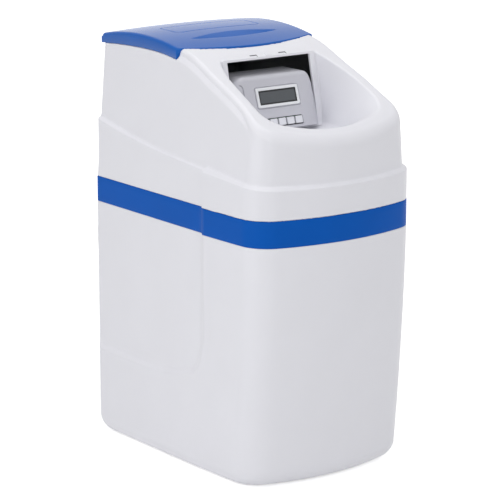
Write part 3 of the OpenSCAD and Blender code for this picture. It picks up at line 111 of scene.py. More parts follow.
GLASS = moulded("display_window", srgb(58, 64, 70), rough=0.10, vary=0.02, grain=600, bump=0.004,
                coat=0.6, rough_vary=0.02)
DARK = moulded("valve_black_plastic", srgb(44, 46, 50), rough=0.45, vary=0.06, grain=1300, bump=0.08)
NATURAL = moulded("gear_natural_acetal", srgb(226, 222, 208), rough=0.38, vary=0.02, grain=1400, bump=0.03)
STEEL = moulded("steel_zinc", srgb(176, 180, 186), rough=0.30, vary=0.05, grain=700, bump=0.03,
                metallic=1.0)
TUBE = moulded("tube_white_pp", srgb(222, 224, 226), rough=0.45, vary=0.02, grain=1200, bump=0.04)
RUBBER = moulded("seal_rubber", srgb(30, 31, 33), rough=0.7, vary=0.08, grain=1100, bump=0.10)
RESIN = moulded("resin_beads", srgb(196, 140, 60), rough=0.35, vary=0.25, grain=1400, bump=0.6, cloud=1300)
VESSEL = moulded("vessel_wound_grp", srgb(54, 92, 132), rough=0.4, vary=0.06, grain=240, bump=0.25)
BOARD = moulded("board_green", srgb(30, 92, 58), rough=0.4, vary=0.08, grain=500, bump=0.05)
GREYNUT = moulded("nut_grey", srgb(150, 154, 160), rough=0.42, vary=0.03, grain=1300, bump=0.05)
REDH = moulded("handle_red", srgb(170, 40, 36), rough=0.4, vary=0.04, grain=1400, bump=0.04)

KEY_COUNT = 5
by_node = {
    "brine_tank": WHITE, "trim_band": BLUE, "shroud": HOOD, "shroud_rear_left": HOOD,
    "shroud_rear_right": HOOD, "window_bezel": TRIM, "salt_lid": LID,
    "lid_hinge_pins": STEEL, "resin_tank": VESSEL, "tank_base": DARK, "riser_tube": TUBE,
    "bottom_basket": TUBE, "top_basket": TUBE, "resin_bed": RESIN, "tank_o_ring": RUBBER,
    "valve_body": DARK, "seal_spacers": NATURAL, "piston_seals": RUBBER, "piston": NATURAL,
    "piston_rod": STEEL, "end_plug": DARK, "drive_bracket": DARK, "main_gear": NATURAL,
    "reduction_gear": NATURAL, "motor_pinion": NATURAL, "drive_motor": STEEL, "head_cover": GREY,
    "display_bezel": SHOW_WHITE, "display_lens": GLASS, "circuit_board": BOARD,
    "keypad": RUBBER, "board_screws": STEEL, "power_socket": DARK, "injector": NATURAL,
    "injector_cap": DARK, "drain_elbow": DARK, "meter_turbine": NATURAL, "turbine_cage": NATURAL,
    "bypass_body": DARK, "bypass_handle_inlet": REDH, "bypass_handle_outlet": REDH,
    "bypass_o_rings": RUBBER, "bypass_nuts": GREYNUT, "connector_nuts": GREYNUT, "tail_pieces": DARK,
    "brine_well": TUBE, "brine_well_cap": TUBE, "float_valve": NATURAL, "float_rod": NATURAL,
    "air_check": TUBE, "brine_elbow": DARK, "brine_line": TUBE, "overflow_elbow": WHITE,
    "overflow_nut": TUBE, "salt_grid": TUBE,
}
for k in range(1, KEY_COUNT + 1):
    by_node["button_%d" % k] = KEY

for name, ob in nodes.items():
    ob.data.materials.clear()
    ob.data.materials.append(by_node[name])


# Cabinet and band: lofted outlines. All lengths from here to the camera are in millimetres

HALF_W, HALF_D, TANK_H, HOOD_Z = 160.0, 238.0, 390.0, 432.0
# bow of the front and of the sides, and the radii of the front, rear and base edges
BOW, SIDE_BOW, FRONT_R, REAR_R, BASE_R = 31.0, 4.0, 52.0, 29.0, 30.0
# an outline drawn in keeps less of its corner radius, down to a least one
CORNER_SHRINK, CORNER_LEAST = 0.6, 8.0
# taper towards the base: of the sides, and of the front with the power it grows by
SIDE_DRAFT, FRONT_SETBACK, SETBACK_POWER = 1.0, 25.0, 1.6
# share of the base edge's rounding taken at the sides and at the front
SIDE_BASE, FRONT_BASE = 0.8, 1.15
# flat on the rear of each side: its plane, front and lower edges, the ellipse and the sag that join these
FLAT_X, FLAT_Y, FLAT_Z = 152.0, -68.0, 150.0
FLAT_ARC_Y, FLAT_ARC_Z, FLAT_SAG, FLAT_SAG_RUN = 38.0, 71.0, 14.0, 107.0
FLAT_EDGE, FLAT_BLEND = 1.6, 1.2
# pocket of the overflow: its wall, depth, heights and ramps, and the slope of its inner end
POCKET_Y, POCKET_DEEP, POCKET_Z0, POCKET_Z1 = 230.0, 8.0, 270.0, 356.0
POCKET_RAMP_LOW, POCKET_RAMP_HIGH, POCKET_BLEND = 18.0, 23.0, 1.0
POCKET_END_X, POCKET_END_SLOPE = -70.0, 1.6
# tank: wall, edge at the top, and the neck that enters the hood
TANK_WALL, TANK_EDGE = 6.0, 0.8
NECK_OUT, NECK_SEAT, NECK_TOP, NECK_EDGE = 3.3, 2.2, 446.0, 0.6
# ring heights, as (from, to, step) outside, closer at the edges of flat and pocket, and as a list inside
BASE_STEPS, BASE_STEPS_IN = 12, 6
PLAIN_Z0, PLAIN_Z1, PLAIN_COUNT = 38, 132, 10
OUTER_SPANS = ((136, 190, 2.0), (192, 250, 4.0), (252, 272, 2.0), (276, 354, 6.0), (354, 384, 2.0),
               (386, 390, 2.0))
INNER_HEIGHTS = (390, 384, 379, 370, 356, 300, 270, 252, 240, 200, 180, 164, 150, 140, 130, 100, 60)
EDGE_TURNS = (30, 60, 90)
# band: gap to the mouldings, thickness, edge, and its rings between the edges
BAND_GAP, BAND_T, BAND_EDGE, BAND_RINGS = 0.15, 2.9, 0.8, (400, 411, 422)
# points of half an outline: along the front, round its corner, along the side, round the rear corner
RING_STEPS = (40, 22, 60, 12)


def half_ring(hw, yf, yb, rf, rb, sb):
    """Half outline from the middle of the front to the rear corner; the sides bow out up to their middle."""
    n_front, n_corner, n_side, n_rear = RING_STEPS
    r = (hw * hw + BOW * BOW) / (2 * BOW)
    cy = yf + r
    fx = hw - rf
    fy = cy - math.sqrt((r - rf) ** 2 - fx * fx)
    a = math.atan2(fy - cy, fx)
    pts = []
    for i in range(n_front + 1):
        t = -math.pi / 2 + (a + math.pi / 2) * i / n_front
        pts.append((r * math.cos(t), cy + r * math.sin(t)))
    for i in range(1, n_corner + 1):
        t = a * (1 - i / n_corner)
        pts.append((fx + rf * math.cos(t), fy + rf * math.sin(t)))
    y1 = yb - rb
    for i in range(1, n_side + 1):
        y = fy + (y1 - fy) * i / n_side
        u = min((y - fy) / (y1 - fy), 0.5)
        pts.append((hw + 4 * sb * u * (1 - u), y))
    for i in range(1, n_rear + 1):
        t = math.pi / 2 * i / n_rear
        pts.append((hw + sb - rb + rb * math.cos(t), y1 + rb * math.sin(t)))
    return np.array(pts)


def rise(z):
    """1 at the base, 0 at the tank's top."""
    return min(max(1 - z / TANK_H, 0.0), 1.0)


def smin(a, b, k):
    h = np.clip(0.5 + 0.5 * (b - a) / k, 0, 1)
    return b * (1 - h) + a * h - k * h * (1 - h)


def soft(g, k):
    """Soft positive part."""
    return 0.5 * (g + np.sqrt(g * g + k * k))


def flat_gap(y, z):
    """Distance outside the side flat's outline in Y and Z, negative inside it."""
    y1 = FLAT_Y + FLAT_ARC_Y
    zc = FLAT_Z + FLAT_SAG + FLAT_ARC_Z
    u = np.clip((y - y1) / FLAT_SAG_RUN, 0, 1)
    low = FLAT_Z + FLAT_SAG * (1 - u) ** 2
    d_low = (low - z) / np.sqrt(1 + (2 * FLAT_SAG / FLAT_SAG_RUN * (1 - u)) ** 2)
    ex = (y - y1) / FLAT_ARC_Y
    ez = (z - zc) / FLAT_ARC_Z
    rr = np.sqrt(ex * ex + ez * ez) + 1e-9
    grad = np.sqrt((ex / FLAT_ARC_Y) ** 2 + (ez / FLAT_ARC_Z) ** 2) / rr
    d_arc = (rr - 1) / np.maximum(grad, 1e-6)
    return np.where((y < y1) & (z < zc), d_arc, np.where(y >= y1, d_low, FLAT_Y - y))


def with_flats(x, y, z, off):
    lim = FLAT_X - off + soft(flat_gap(y, z), FLAT_EDGE)
    return np.sign(x) * smin(np.abs(x), lim, FLAT_BLEND)


def pocket_limit(x, z, off):
    """How far back the rear wall may stand at the overflow's pocket."""
    below = (POCKET_Z0 - z) * POCKET_DEEP / POCKET_RAMP_LOW
    above = (z - POCKET_Z1) * POCKET_DEEP / POCKET_RAMP_HIGH
    ramp = np.maximum(np.maximum(below, above), 0)
    ramp = np.maximum(ramp, np.maximum((x - POCKET_END_X) * POCKET_END_SLOPE, 0))
    return POCKET_Y - off + ramp


def ring_at(z, off, zf=None, extra=0.0):
    """Whole outline at height z, drawn in by off and extra, with flats and pocket as at height zf."""
    zz = z if zf is None else zf
    r = BASE_R - off
    d = r - (z - off)
    e = 0.0 if z - off >= r else r - math.sqrt(max(r * r - d * d, 0.0))
    dr = off + e + extra
    side, front = off + extra + SIDE_BASE * e, off + extra + FRONT_BASE * e
    h = half_ring(HALF_W - SIDE_BOW - SIDE_DRAFT * rise(z) - side,
                  -HALF_D + FRONT_SETBACK * rise(z) ** SETBACK_POWER + front, HALF_D - dr,
                  max(FRONT_R - CORNER_SHRINK * dr, CORNER_LEAST),
                  max(REAR_R - CORNER_SHRINK * dr, CORNER_LEAST), SIDE_BOW)
    h[:, 0] = with_flats(h[:, 0], h[:, 1], zz, off + extra)
    full = np.vstack([h, np.c_[-h[::-1, 0], h[::-1, 1]][:-1]])
    lim = pocket_limit(full[:, 0], zz, off + extra)
    full[:, 1] = smin(full[:, 1], lim, POCKET_BLEND)
    return np.c_[full, np.full(len(full), z)]


def mesh_object(name, verts, faces, mat, smooth=True):
    me = bpy.data.meshes.new(name)
    me.from_pydata([tuple(v) for v in np.asarray(verts) * MM], [], faces)
    me.validate()
    me.update()
    if smooth:
        me.polygons.foreach_set("use_smooth", [True] * len(me.polygons))
    ob = bpy.data.objects.new(name, me)
    bpy.context.scene.collection.objects.link(ob)
    me.materials.append(mat)
    return ob


def loft(rings, close=False):
    """Quads between rings of equal length, with a cap at each end or the last ring joined to the first."""
    n, count = len(rings[0]), len(rings)
    faces = []
    for k in range(count if close else count - 1):
        a, b = k * n, (k + 1) % count * n
        for i in range(n):
            j = (i + 1) % n
            faces.append((a + i, a + j, b + j, b + i))
    if not close:
        faces.append(tuple(range(n - 1, -1, -1)))
        faces.append(tuple((count - 1) * n + i for i in range(n)))
    return np.vstack(rings), faces


def quarter(i, n):
    return 1 - math.cos(math.pi / 2 * i / n)


def build_tank():
    zs = [0.0] + [BASE_R * quarter(i, BASE_STEPS) for i in range(1, BASE_STEPS + 1)]
    zs += list(np.linspace(PLAIN_Z0, PLAIN_Z1, PLAIN_COUNT))
    for lo, hi, step in OUTER_SPANS:
        zs += list(np.arange(lo, hi, step))
    rings = [ring_at(z, 0.0) for z in zs]
    for a in EDGE_TURNS:
        t = math.radians(a)
        z = TANK_H - TANK_EDGE + TANK_EDGE * math.sin(t)
        rings.append(ring_at(z, 0.0, extra=TANK_EDGE * (1 - math.cos(t))))
    for z, off in ((TANK_H, NECK_SEAT), (TANK_H, NECK_OUT), (TANK_H + 1, NECK_OUT)):
        rings.append(ring_at(z, off))
    for z, off in ((NECK_TOP - NECK_EDGE, NECK_OUT), (NECK_TOP, NECK_OUT + NECK_EDGE),
                   (NECK_TOP, TANK_WALL - NECK_EDGE), (NECK_TOP - NECK_EDGE, TANK_WALL)):
        rings.append(ring_at(z, off, zf=TANK_H))
    rings += [ring_at(z, TANK_WALL) for z in INNER_HEIGHTS]
    for i in range(BASE_STEPS_IN, -1, -1):
        rings.append(ring_at(TANK_WALL + (BASE_R - TANK_WALL) * quarter(i, BASE_STEPS_IN), TANK_WALL))
    v, f = loft(rings)
    ob = mesh_object("tank_shell", v, f, WHITE)
    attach(ob, "cabinet")
    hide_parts("brine_tank")


def build_band():
    z0, z1 = TANK_H + BAND_GAP, HOOD_Z - BAND_GAP
    turns = [math.radians(a) for a in (0,) + EDGE_TURNS]
    edge = [(BAND_EDGE * (1 - math.sin(t)), BAND_EDGE * (1 - math.cos(t))) for t in turns]
    prof = [(z0 + up, off) for up, off in edge[::-1]] + [(z, 0) for z in BAND_RINGS]
    prof += [(z1 - up, off) for up, off in edge] + [(z1, BAND_T), (z0, BAND_T)]
    rings = []
    for z, off in prof:
        r = ring_at(TANK_H, 0.0, extra=off)
        r[:, 2] = z
        rings.append(r)
    v, f = loft(rings, close=True)
    ob = mesh_object("band_trim", v, f, BLUE)
    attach(ob, "cabinet")
    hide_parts("trim_band")


# Hood: a signed-distance form of the whole moulding, turned into a fine quad mesh

# crest of the edge that the lid sits on, with the lengths of its parabolas to the front and to the rear
CREST_Y, CREST_Z, CREST_FRONT, CREST_REAR = 110.0, 654.0, 1000.0, 2800.0
SLOPE_RISE, SEAT_LIFT, LIFT_Y0, LIFT_RUN = 9.0, 9.0, -80.0, 90.0
LID_FRONT, LID_BOW, LID_HW, LID_BACK = 0.0, 27.0, 134.0, 237.5
# shoulder step: height at y = 0, slope and curve; how far it drops and leans outwards
LEDGE_Z, LEDGE_SLOPE, LEDGE_CURVE, LEDGE_DROP, LEDGE_LEAN = 498.0, 0.075, 0.0003, 3.0, 0.6
# upper hood: half width at the step, lean of its sides, front, and corner radii
UPPER_HW, UPPER_LEAN, UPPER_FRONT, UPPER_FRONT_R, UPPER_REAR_R = 147.0, 0.085, -231.0, 40.0, 16.0
SHOULDER_R, NOSE_MORE_R = 7.0, 4.0
# bevel along the roof: its lower edge under the roof, its width, its lean, and where it fades out in front
BEVEL_DEEP, BEVEL_IN, BEVEL_LEAN, BEVEL_Y0, BEVEL_RUN = 18.0, 5.2, (8.5, 5.5), -182.0, 42.0
# radii of the hood's edges, gap in front of the lid, and the wall, thicker above the tank's neck
LEDGE_R, STEP_R, RIM_R, SEAT_R, BEVEL_R = 1.2, 1.4, 2.4, 0.8, 0.8
SEAT_GAP, HOOD_WALL, WALL_MORE, WALL_RUN = 0.4, 3.0, 1.2, 6.0
# control window: lower edge of its wall, tilt, half width, and how far behind that edge it meets the roof
WIN_Y, WIN_Z, WIN_T, WIN_HW, WIN_REACH = -58.0, 531.5, math.radians(12.4), 90.0, 25.0
# well: its rim in front and at the rear, its floor's front, and the narrowing of the floor
RIM_Y, RIM_BOW, RIM_HW, RIM_REAR_HW, RIM_REAR_Y, RIM_EASE = -210.0, 28.0, 115.0, 93.0, -36.0, 45.0
WELL_FLOOR_Y, WELL_FLOOR_BOW, WELL_FLOOR_HW = -174.0, 25.0, 67.5
WELL_RUN, WELL_NARROW, WELL_LEAST = 93.0, 18.0, 12.0
WELL_REACH_Z, WELL_REACH_Y = (-0.3, 1.5), 1.4
WELL_CORNER_R, WELL_FLOOR_R, WELL_BACK_R = 15.0, 8.0, 1.5
# cuts through the hood: window, as half width, margins, middle and half depth; lid opening; rear notch
HOLE_HW, HOLE_LOW, HOLE_TOP, HOLE_W, HOLE_HALF = 83.0, 1.2, 1.3, -1.5, 6.5
OPENING = (-112, 51, 614), (112, 222, 700)
NOTCH = (-60, 218, 400), (60, 260, 547)
HOOD_LO, HOOD_HI, HOOD_INNER = (0, -244.0, 428.6), (163.0, 246.0, 668.0), -1.8


def crest_run(y):
    return np.where(y < CREST_Y, CREST_FRONT, CREST_REAR)


def edge_z(y):
    return CREST_Z - (y - CREST_Y) ** 2 / crest_run(y)


def edge_slope(y):
    return -2 * (y - CREST_Y) / crest_run(y)


def eased(t):
    c = np.clip(t, 0, 1)
    return c * c * (3 - 2 * c)


def top_z(y):
    return edge_z(y) + SLOPE_RISE + SEAT_LIFT * eased((y - LIFT_Y0) / LIFT_RUN)


def top_slope(y):
    c = np.clip((y - LIFT_Y0) / LIFT_RUN, 0, 1)
    return edge_slope(y) + SEAT_LIFT * 6 * c * (1 - c) / LIFT_RUN


def lid_front(x):
    return LID_FRONT + LID_BOW * (x / LID_HW) ** 2


def ledge_z(y):
    return LEDGE_Z + LEDGE_SLOPE * y + LEDGE_CURVE * np.maximum(y, 0) ** 2


def round_max(a, b, r):
    u = np.maximum(r + a, 0)
    v = np.maximum(r + b, 0)
    return np.minimum(-r, np.maximum(a, b)) + np.sqrt(u * u + v * v)


def round_min(a, b, r):
    return -round_max(-a, -b, r)


def plan_sd(x, y, hw, yf, yb, rf, rb, sb):
    """Signed distance to the cabinet's outline in plan, for x above 0."""
    rad = (hw * hw + BOW * BOW) / (2 * BOW)
    cy = yf + rad
    fx = hw - rf
    fy = cy - np.sqrt((rad - rf) ** 2 - fx * fx)
    u = np.clip((y - fy) / (yb - rb - fy), 0, 1)
    side = x - (hw + 4 * sb * u * (1 - u))
    front = np.sqrt(x * x + (y - cy) ** 2) - rad
    d = np.maximum(np.maximum(side, front), y - yb)
    px, py = x - fx, y - fy
    cross = fx * py - (fy - cy) * px
    d = np.where((py < 0) & (cross > 0) & (px > 0), np.sqrt(px * px + py * py) - rf, d)
    qx, qy = x - (hw - rb), y - (yb - rb)
    return np.where((qx > 0) & (qy > 0), np.sqrt(qx * qx + qy * qy) - rb, d)


def to_plane(plane, x, y, z):
    """Coordinates across, up along and out of a plane given by its origin's y and z and its tilt."""
    y0, z0, tilt = plane
    dy, dz = y - y0, z - z0
    s, c = math.sin(tilt), math.cos(tilt)
    return x, dy * s + dz * c, -dy * c + dz * s


def from_plane(plane, p):
    y0, z0, tilt = plane
    s, c = math.sin(tilt), math.cos(tilt)
    return np.c_[p[:, 0], y0 + p[:, 1] * s - p[:, 2] * c, z0 + p[:, 1] * c + p[:, 2] * s]


WINDOW = WIN_Y, WIN_Z, WIN_T
WIN_LEN = (float(top_z(np.array(WIN_Y + WIN_REACH))) - WIN_Z) / math.cos(WIN_T)


def well_raw(x, y, z):
    """Open dish in front of the control window."""
    w = to_plane(WINDOW, x, y, z)[2]
    deep = np.maximum(top_z(y) - WIN_Z, WELL_LEAST)
    t = np.clip((z - WIN_Z) / deep, *WELL_REACH_Z)
    back = np.clip((WIN_Y - y) / WELL_RUN, 0, WELL_REACH_Y)
    hw0 = WIN_HW - WELL_NARROW * back
    widen = 1 - np.exp(np.minimum(y - RIM_REAR_Y, 0) / RIM_EASE)
    hw1 = RIM_REAR_HW + (RIM_HW - RIM_REAR_HW) * widen
    side = (x - hw0 - (hw1 - hw0) * t) / np.sqrt(1 + ((hw1 - hw0) / deep) ** 2)
    yf0 = WELL_FLOOR_Y + WELL_FLOOR_BOW * (x / WELL_FLOOR_HW) ** 2
    yf1 = RIM_Y + RIM_BOW * (x / RIM_HW) ** 2
    lean = (yf0 - yf1) / deep
    front = (yf0 + (yf1 - yf0) * t - y) / np.sqrt(1 + lean ** 2 + (2 * RIM_BOW * x / RIM_HW ** 2) ** 2)
    bowl = round_max(round_max(side, front, WELL_CORNER_R), WIN_Z - z, WELL_FLOOR_R)
    return round_max(bowl, -w, WELL_BACK_R)


EVEN_STEP, EVEN_RANGE = 0.4, (0.5, 3.0)


def even(fn, x, y, z):
    """A form's value with its slope evened out, so that it measures true distances near its surface."""
    e = EVEN_STEP
    g = (fn(x + e, y, z) - fn(x - e, y, z)) ** 2
    g = g + (fn(x, y + e, z) - fn(x, y - e, z)) ** 2
    g = g + (fn(x, y, z + e) - fn(x, y, z - e)) ** 2
    return fn(x, y, z) / np.clip(np.sqrt(g) / (2 * e), *EVEN_RANGE)


def upper_raw(x, y, z):
    """Upper hood: leaning sides, round nose, and a roof whose soft shoulder stands above a bevel."""
    up = plan_sd(x, y, UPPER_HW - UPPER_LEAN * (z - LEDGE_Z), UPPER_FRONT, HALF_D,
                 UPPER_FRONT_R, UPPER_REAR_R, 0.0)
    tz = top_z(y)
    sl = top_slope(y)
    roof = (z - tz) / np.sqrt(1 + sl * sl)
    back = eased((y - BEVEL_Y0) / BEVEL_RUN)
    shoulder = round_max(roof, up + BEVEL_IN * back, SHOULDER_R + NOSE_MORE_R * (1 - back))
    lean, run = BEVEL_LEAN
    bevel = (lean * up + run * (z - tz + BEVEL_DEEP)) / np.sqrt(lean ** 2 + run ** 2 * (1 + sl * sl))
    side = np.maximum(roof, round_max(up, bevel, BEVEL_R))
    return np.minimum(shoulder, side)


def hood_sd(x, y, z):
    """Outside of the hood and its hollow: skirt, shoulder step, upper hood, control well and lid seat."""
    skirt = plan_sd(x, y, HALF_W - SIDE_BOW, -HALF_D, HALF_D, FRONT_R, REAR_R, SIDE_BOW)
    skirt = np.maximum(skirt, x - (FLAT_X + soft(FLAT_Y - y, FLAT_EDGE)))
    led = (z - ledge_z(y) + LEDGE_DROP + LEDGE_LEAN * skirt) / math.sqrt(1 + LEDGE_LEAN ** 2)
    skirt = round_max(skirt, led, LEDGE_R)
    up = even(upper_raw, x, y, z)
    well = even(well_raw, x, y, z)
    sl = edge_slope(y)
    seat = np.maximum((edge_z(y) - z) / np.sqrt(1 + sl * sl), lid_front(x) - SEAT_GAP - y)
    d = round_max(round_min(skirt, up, STEP_R), -well, RIM_R)
    d = round_max(d, -seat, SEAT_R)
    hollow = np.maximum(np.maximum(np.minimum(skirt, up), -well), -seat) + HOOD_WALL
    hollow = hollow + WALL_MORE * np.clip((z - NECK_TOP) / WALL_RUN, 0, 1)
    return d, hollow


def box_sd(x, y, z, lo, hi):
    d = np.maximum(np.maximum(lo[0] - x, x - hi[0]), np.maximum(lo[1] - y, y - hi[1]))
    return np.maximum(d, np.maximum(lo[2] - z, z - hi[2]))


def shroud_sd(x, y, z):
    x = np.abs(x)
    out, hollow = hood_sd(x, y, z)
    d = np.maximum(np.maximum(out, -hollow), HOOD_Z + BAND_GAP - z)
    u, v, w = to_plane(WINDOW, x, y, z)
    hole = np.maximum(u - HOLE_HW, np.maximum(HOLE_LOW - v, v - (WIN_LEN - HOLE_TOP)))
    d = np.maximum(d, -np.maximum(hole, np.abs(w - HOLE_W) - HOLE_HALF))
    d = np.maximum(d, -box_sd(x, y, z, *OPENING))
    return np.maximum(d, -box_sd(x, y, z, *NOTCH))


GRADIENT_STEP, SLOPE_LEAST, LONGEST_STEP, SETTLE_ROUNDS = 0.05, 0.05, 1.2, 3
COARSE, NEAR_CELLS = 4, 2.0


def gradient(fn, p):
    g = np.empty_like(p)
    for i in range(3):
        d = np.zeros(3)
        d[i] = GRADIENT_STEP
        g[:, i] = (fn(*(p + d).T) - fn(*(p - d).T)) / (2 * GRADIENT_STEP)
    return g


def surface_nets(fn, lo, hi, h, mirror):
    """Quad mesh of fn = 0. With mirror it is symmetric about x = 0, and lo and hi bound the half above 0."""
    ax = [np.arange(lo[i], hi[i] + h, h) for i in range(3)]
    if mirror:
        ax[0] = np.arange(-h, hi[0] + h, h)
    # a coarse look first, then the fine grid only near the surface
    first = fn(*np.meshgrid(*[a[::COARSE] for a in ax], indexing="ij"))
    near = np.abs(first) < h * COARSE * NEAR_CELLS
    take = [np.minimum((np.arange(len(a)) + COARSE // 2) // COARSE, m - 1) for a, m in zip(ax, first.shape)]
    f = first[np.ix_(*take)].astype(np.float32)
    ii = np.nonzero(near[np.ix_(*take)])
    f[ii] = fn(ax[0][ii[0]], ax[1][ii[1]], ax[2][ii[2]])
    s = f < 0
    dims = [n - 1 for n in f.shape]
    corners = [(i, j, k) for i in (0, 1) for j in (0, 1) for k in (0, 1)]
    cnt = np.zeros(dims, np.int8)
    for i, j, k in corners:
        cnt += s[i:i + dims[0], j:j + dims[1], k:k + dims[2]]
    act = (cnt > 0) & (cnt < len(corners))
    if mirror:
        act[0] = False
    cells = np.argwhere(act)
    n = len(cells)
    idx = np.full(dims, -1, np.int64)
    idx[act] = np.arange(n)
    if mirror:
        idx[0] = np.where(idx[1] >= 0, idx[1] + n, -1)
    # a point in each cell that the surface crosses: the mean of the crossings on the cell's edges
    acc = np.zeros((n, 3))
    num = np.zeros(n)
    ci = tuple(cells.T)
    val = {c: f[ci[0] + c[0], ci[1] + c[1], ci[2] + c[2]].astype(float) for c in corners}
    for a in corners:
        for d in range(3):
            if a[d] == 0:
                b = tuple(1 if i == d else a[i] for i in range(3))
                hit = (val[a] < 0) != (val[b] < 0)
                t = np.where(hit, val[a] / np.where(hit, val[a] - val[b], 1), 0)
                p = np.array(a, float)[None] + t[:, None] * (np.array(b) - np.array(a))[None]
                acc += np.where(hit[:, None], p, 0)
                num += hit
    origin = np.array([a[0] for a in ax])
    pts = (cells + acc / num[:, None]) * h + origin
    # a quad round each grid edge that the surface crosses
    quads, middle = [], []
    for d in range(3):
        e0, e1 = (d + 1) % 3, (d + 2) % 3
        lo_s = tuple(slice(0, -1) if i == d else slice(None) for i in range(3))
        hi_s = tuple(slice(1, None) if i == d else slice(None) for i in range(3))
        ins = s[lo_s]
        ii = np.argwhere(ins != s[hi_s])
        ok = (ii[:, e0] > 0) & (ii[:, e1] > 0)
        ok &= (ii[:, e0] < f.shape[e0] - 1) & (ii[:, e1] < f.shape[e1] - 1)
        if mirror:
            ok &= (ii[:, 0] > 0)
        ii = ii[ok]
        sa = ins[tuple(ii.T)]

        def cell(o0, o1):
            c = ii.copy()
            c[:, e0] += o0
            c[:, e1] += o1
            return idx[tuple(c.T)]
        q = np.stack([cell(-1, -1), cell(0, -1), cell(0, 0), cell(-1, 0)], 1)
        q[~sa] = q[~sa][:, ::-1]
        mid = (ii[:, 0] == 1) & (d != 0) & mirror
        quads.append(q[~mid])
        middle.append(q[mid])
    half = np.vstack(quads)
    if not mirror:
        return pts, half
    swap = np.where(half < n, half + n, half - n)[:, ::-1]
    return pts, np.vstack([half, swap] + middle)


def settle(fn, pts):
    """Moves points onto fn = 0 and gives the outward normals there."""
    for _ in range(SETTLE_ROUNDS):
        g = gradient(fn, pts)
        step = fn(*pts.T) / np.maximum((g * g).sum(1), SLOPE_LEAST)
        pts = pts - g * np.clip(step, -LONGEST_STEP, LONGEST_STEP)[:, None]
    g = gradient(fn, pts)
    return pts, g / np.maximum(np.linalg.norm(g, axis=1), 1e-6)[:, None]


def net_piece(name, fn, lo, hi, h, mat, mirror=False, plane=None):
    """A piece meshed from a signed-distance form, with the form's own normals."""
    pts, quads = surface_nets(fn, lo, hi, h, mirror)
    pts, nor = settle(fn, pts)
    if mirror:
        flip = np.array([-1.0, 1.0, 1.0])
        pts = np.vstack([pts, pts * flip])
        nor = np.vstack([nor, nor * flip])
    if plane:
        pts, nor = from_plane(plane, pts), from_plane((0.0, 0.0, plane[2]), nor)
    me = bpy.data.meshes.new(name)
    me.from_pydata([tuple(v) for v in pts * MM], [], [tuple(q) for q in quads.tolist()])
    me.update()
    me.polygons.foreach_set("use_smooth", [True] * len(me.polygons))
    me.normals_split_custom_set_from_vertices([tuple(v) for v in nor])
    ob = bpy.data.objects.new(name, me)
    bpy.context.scene.collection.objects.link(ob)
    me.materials.append(mat)
    return ob


def second_finish(ob, mat, chosen):
    """Gives a second material to the faces whose middles x, y, z are chosen."""
    me = ob.data
    me.materials.append(mat)
    mid = np.empty(3 * len(me.polygons))
    me.polygons.foreach_get("center", mid)
    me.polygons.foreach_set("material_index", chosen(*(mid.reshape(-1, 3) / MM).T).astype(np.int32))


def add_prism(verts, faces, prof, x0, x1):
    """Adds a prism along X over a profile in Y and Z."""
    n0, n = len(verts), len(prof)
    for x in (x0, x1):
        verts.extend((x, p[0], p[1]) for p in prof)
    for i in range(n):
        j = (i + 1) % n
        faces.append((n0 + i, n0 + j, n0 + n + j, n0 + n + i))
    faces.append(tuple(n0 + i for i in range(n - 1, -1, -1)))
    faces.append(tuple(n0 + n + i for i in range(n)))


# hinge: its pin, the places and widths of knuckles and lugs, and the play between these
HINGE_LIFT, HINGE_Y, HINGE_R, HINGE_X = 2.4, 244.5, 5.0, 84.0
HINGE_Z = CREST_Z - (HALF_D - CREST_Y) ** 2 / CREST_REAR + HINGE_LIFT
KNUCKLE_W, LUG_W, LUG_GAP, LUG_PLAY = 22.0, 10.0, 0.3, 0.05
# a lug's outline before and after its arc round the pin, as (y, depth under the pin)
LUG_UNDER = (236.0, 22.0), (HINGE_Y - 1.0, 20.0), (HINGE_Y + HINGE_R - 0.6, 13.0)
LUG_FRONT = (238.4, 3.0), (238.4, 8.0), (236.0, 8.0)
# arcs round the pin, as start and sweep in degrees, and steps
LUG_ARC, KNUCKLE_ARC = (-5, 185, 16), (190, 260, 24)


def pin_arc(start, sweep, n):
    turns = [math.radians(start + sweep * i / n) for i in range(n + 1)]
    return [(HINGE_Y + HINGE_R * math.cos(t), HINGE_Z + HINGE_R * math.sin(t)) for t in turns]


def build_shroud():
    h = 2.0
    ob = net_piece("hood_shell", shroud_sd, HOOD_LO, HOOD_HI, h, HOOD, mirror=True)
    # faces of the hollow side take a mid grey: painted shade for the dim inside of the white hood
    second_finish(ob, HOOD_INSIDE_SHADE, lambda x, y, z: hood_sd(np.abs(x), y, z)[0] < HOOD_INNER)
    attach(ob, "cabinet")
    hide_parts("shroud", "shroud_rear_left", "shroud_rear_right")
    prof = [(y, HINGE_Z - low) for y, low in LUG_UNDER] + pin_arc(*LUG_ARC)
    prof += [(y, HINGE_Z - low) for y, low in LUG_FRONT]
    verts, faces = [], []
    for sx in (-1, 1):
        for side in (-1, 1):
            mid_x = sx * HINGE_X + side * (KNUCKLE_W / 2 + LUG_GAP + LUG_W / 2)
            add_prism(verts, faces, prof, mid_x - LUG_W / 2 + LUG_PLAY, mid_x + LUG_W / 2 - LUG_PLAY)
    lug = mesh_object("hood_hinge_lugs", verts, faces, HOOD, smooth=False)
    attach(lug, "cabinet")


# Lid: crowned sheet with rounded border, finger scoop and a bare label place

LID_TOP_Z, LID_TOP_Y, LID_CURVE, LID_CROWN = 675.0, 130.0, 1020.0, 3.4
LID_WALL, LID_R, LID_FRONT_R, LID_FOOT_R, LID_FOOT_GAP, LID_FOOT_IN = 3.0, 4.5, 1.2, 0.7, 0.3, 0.3
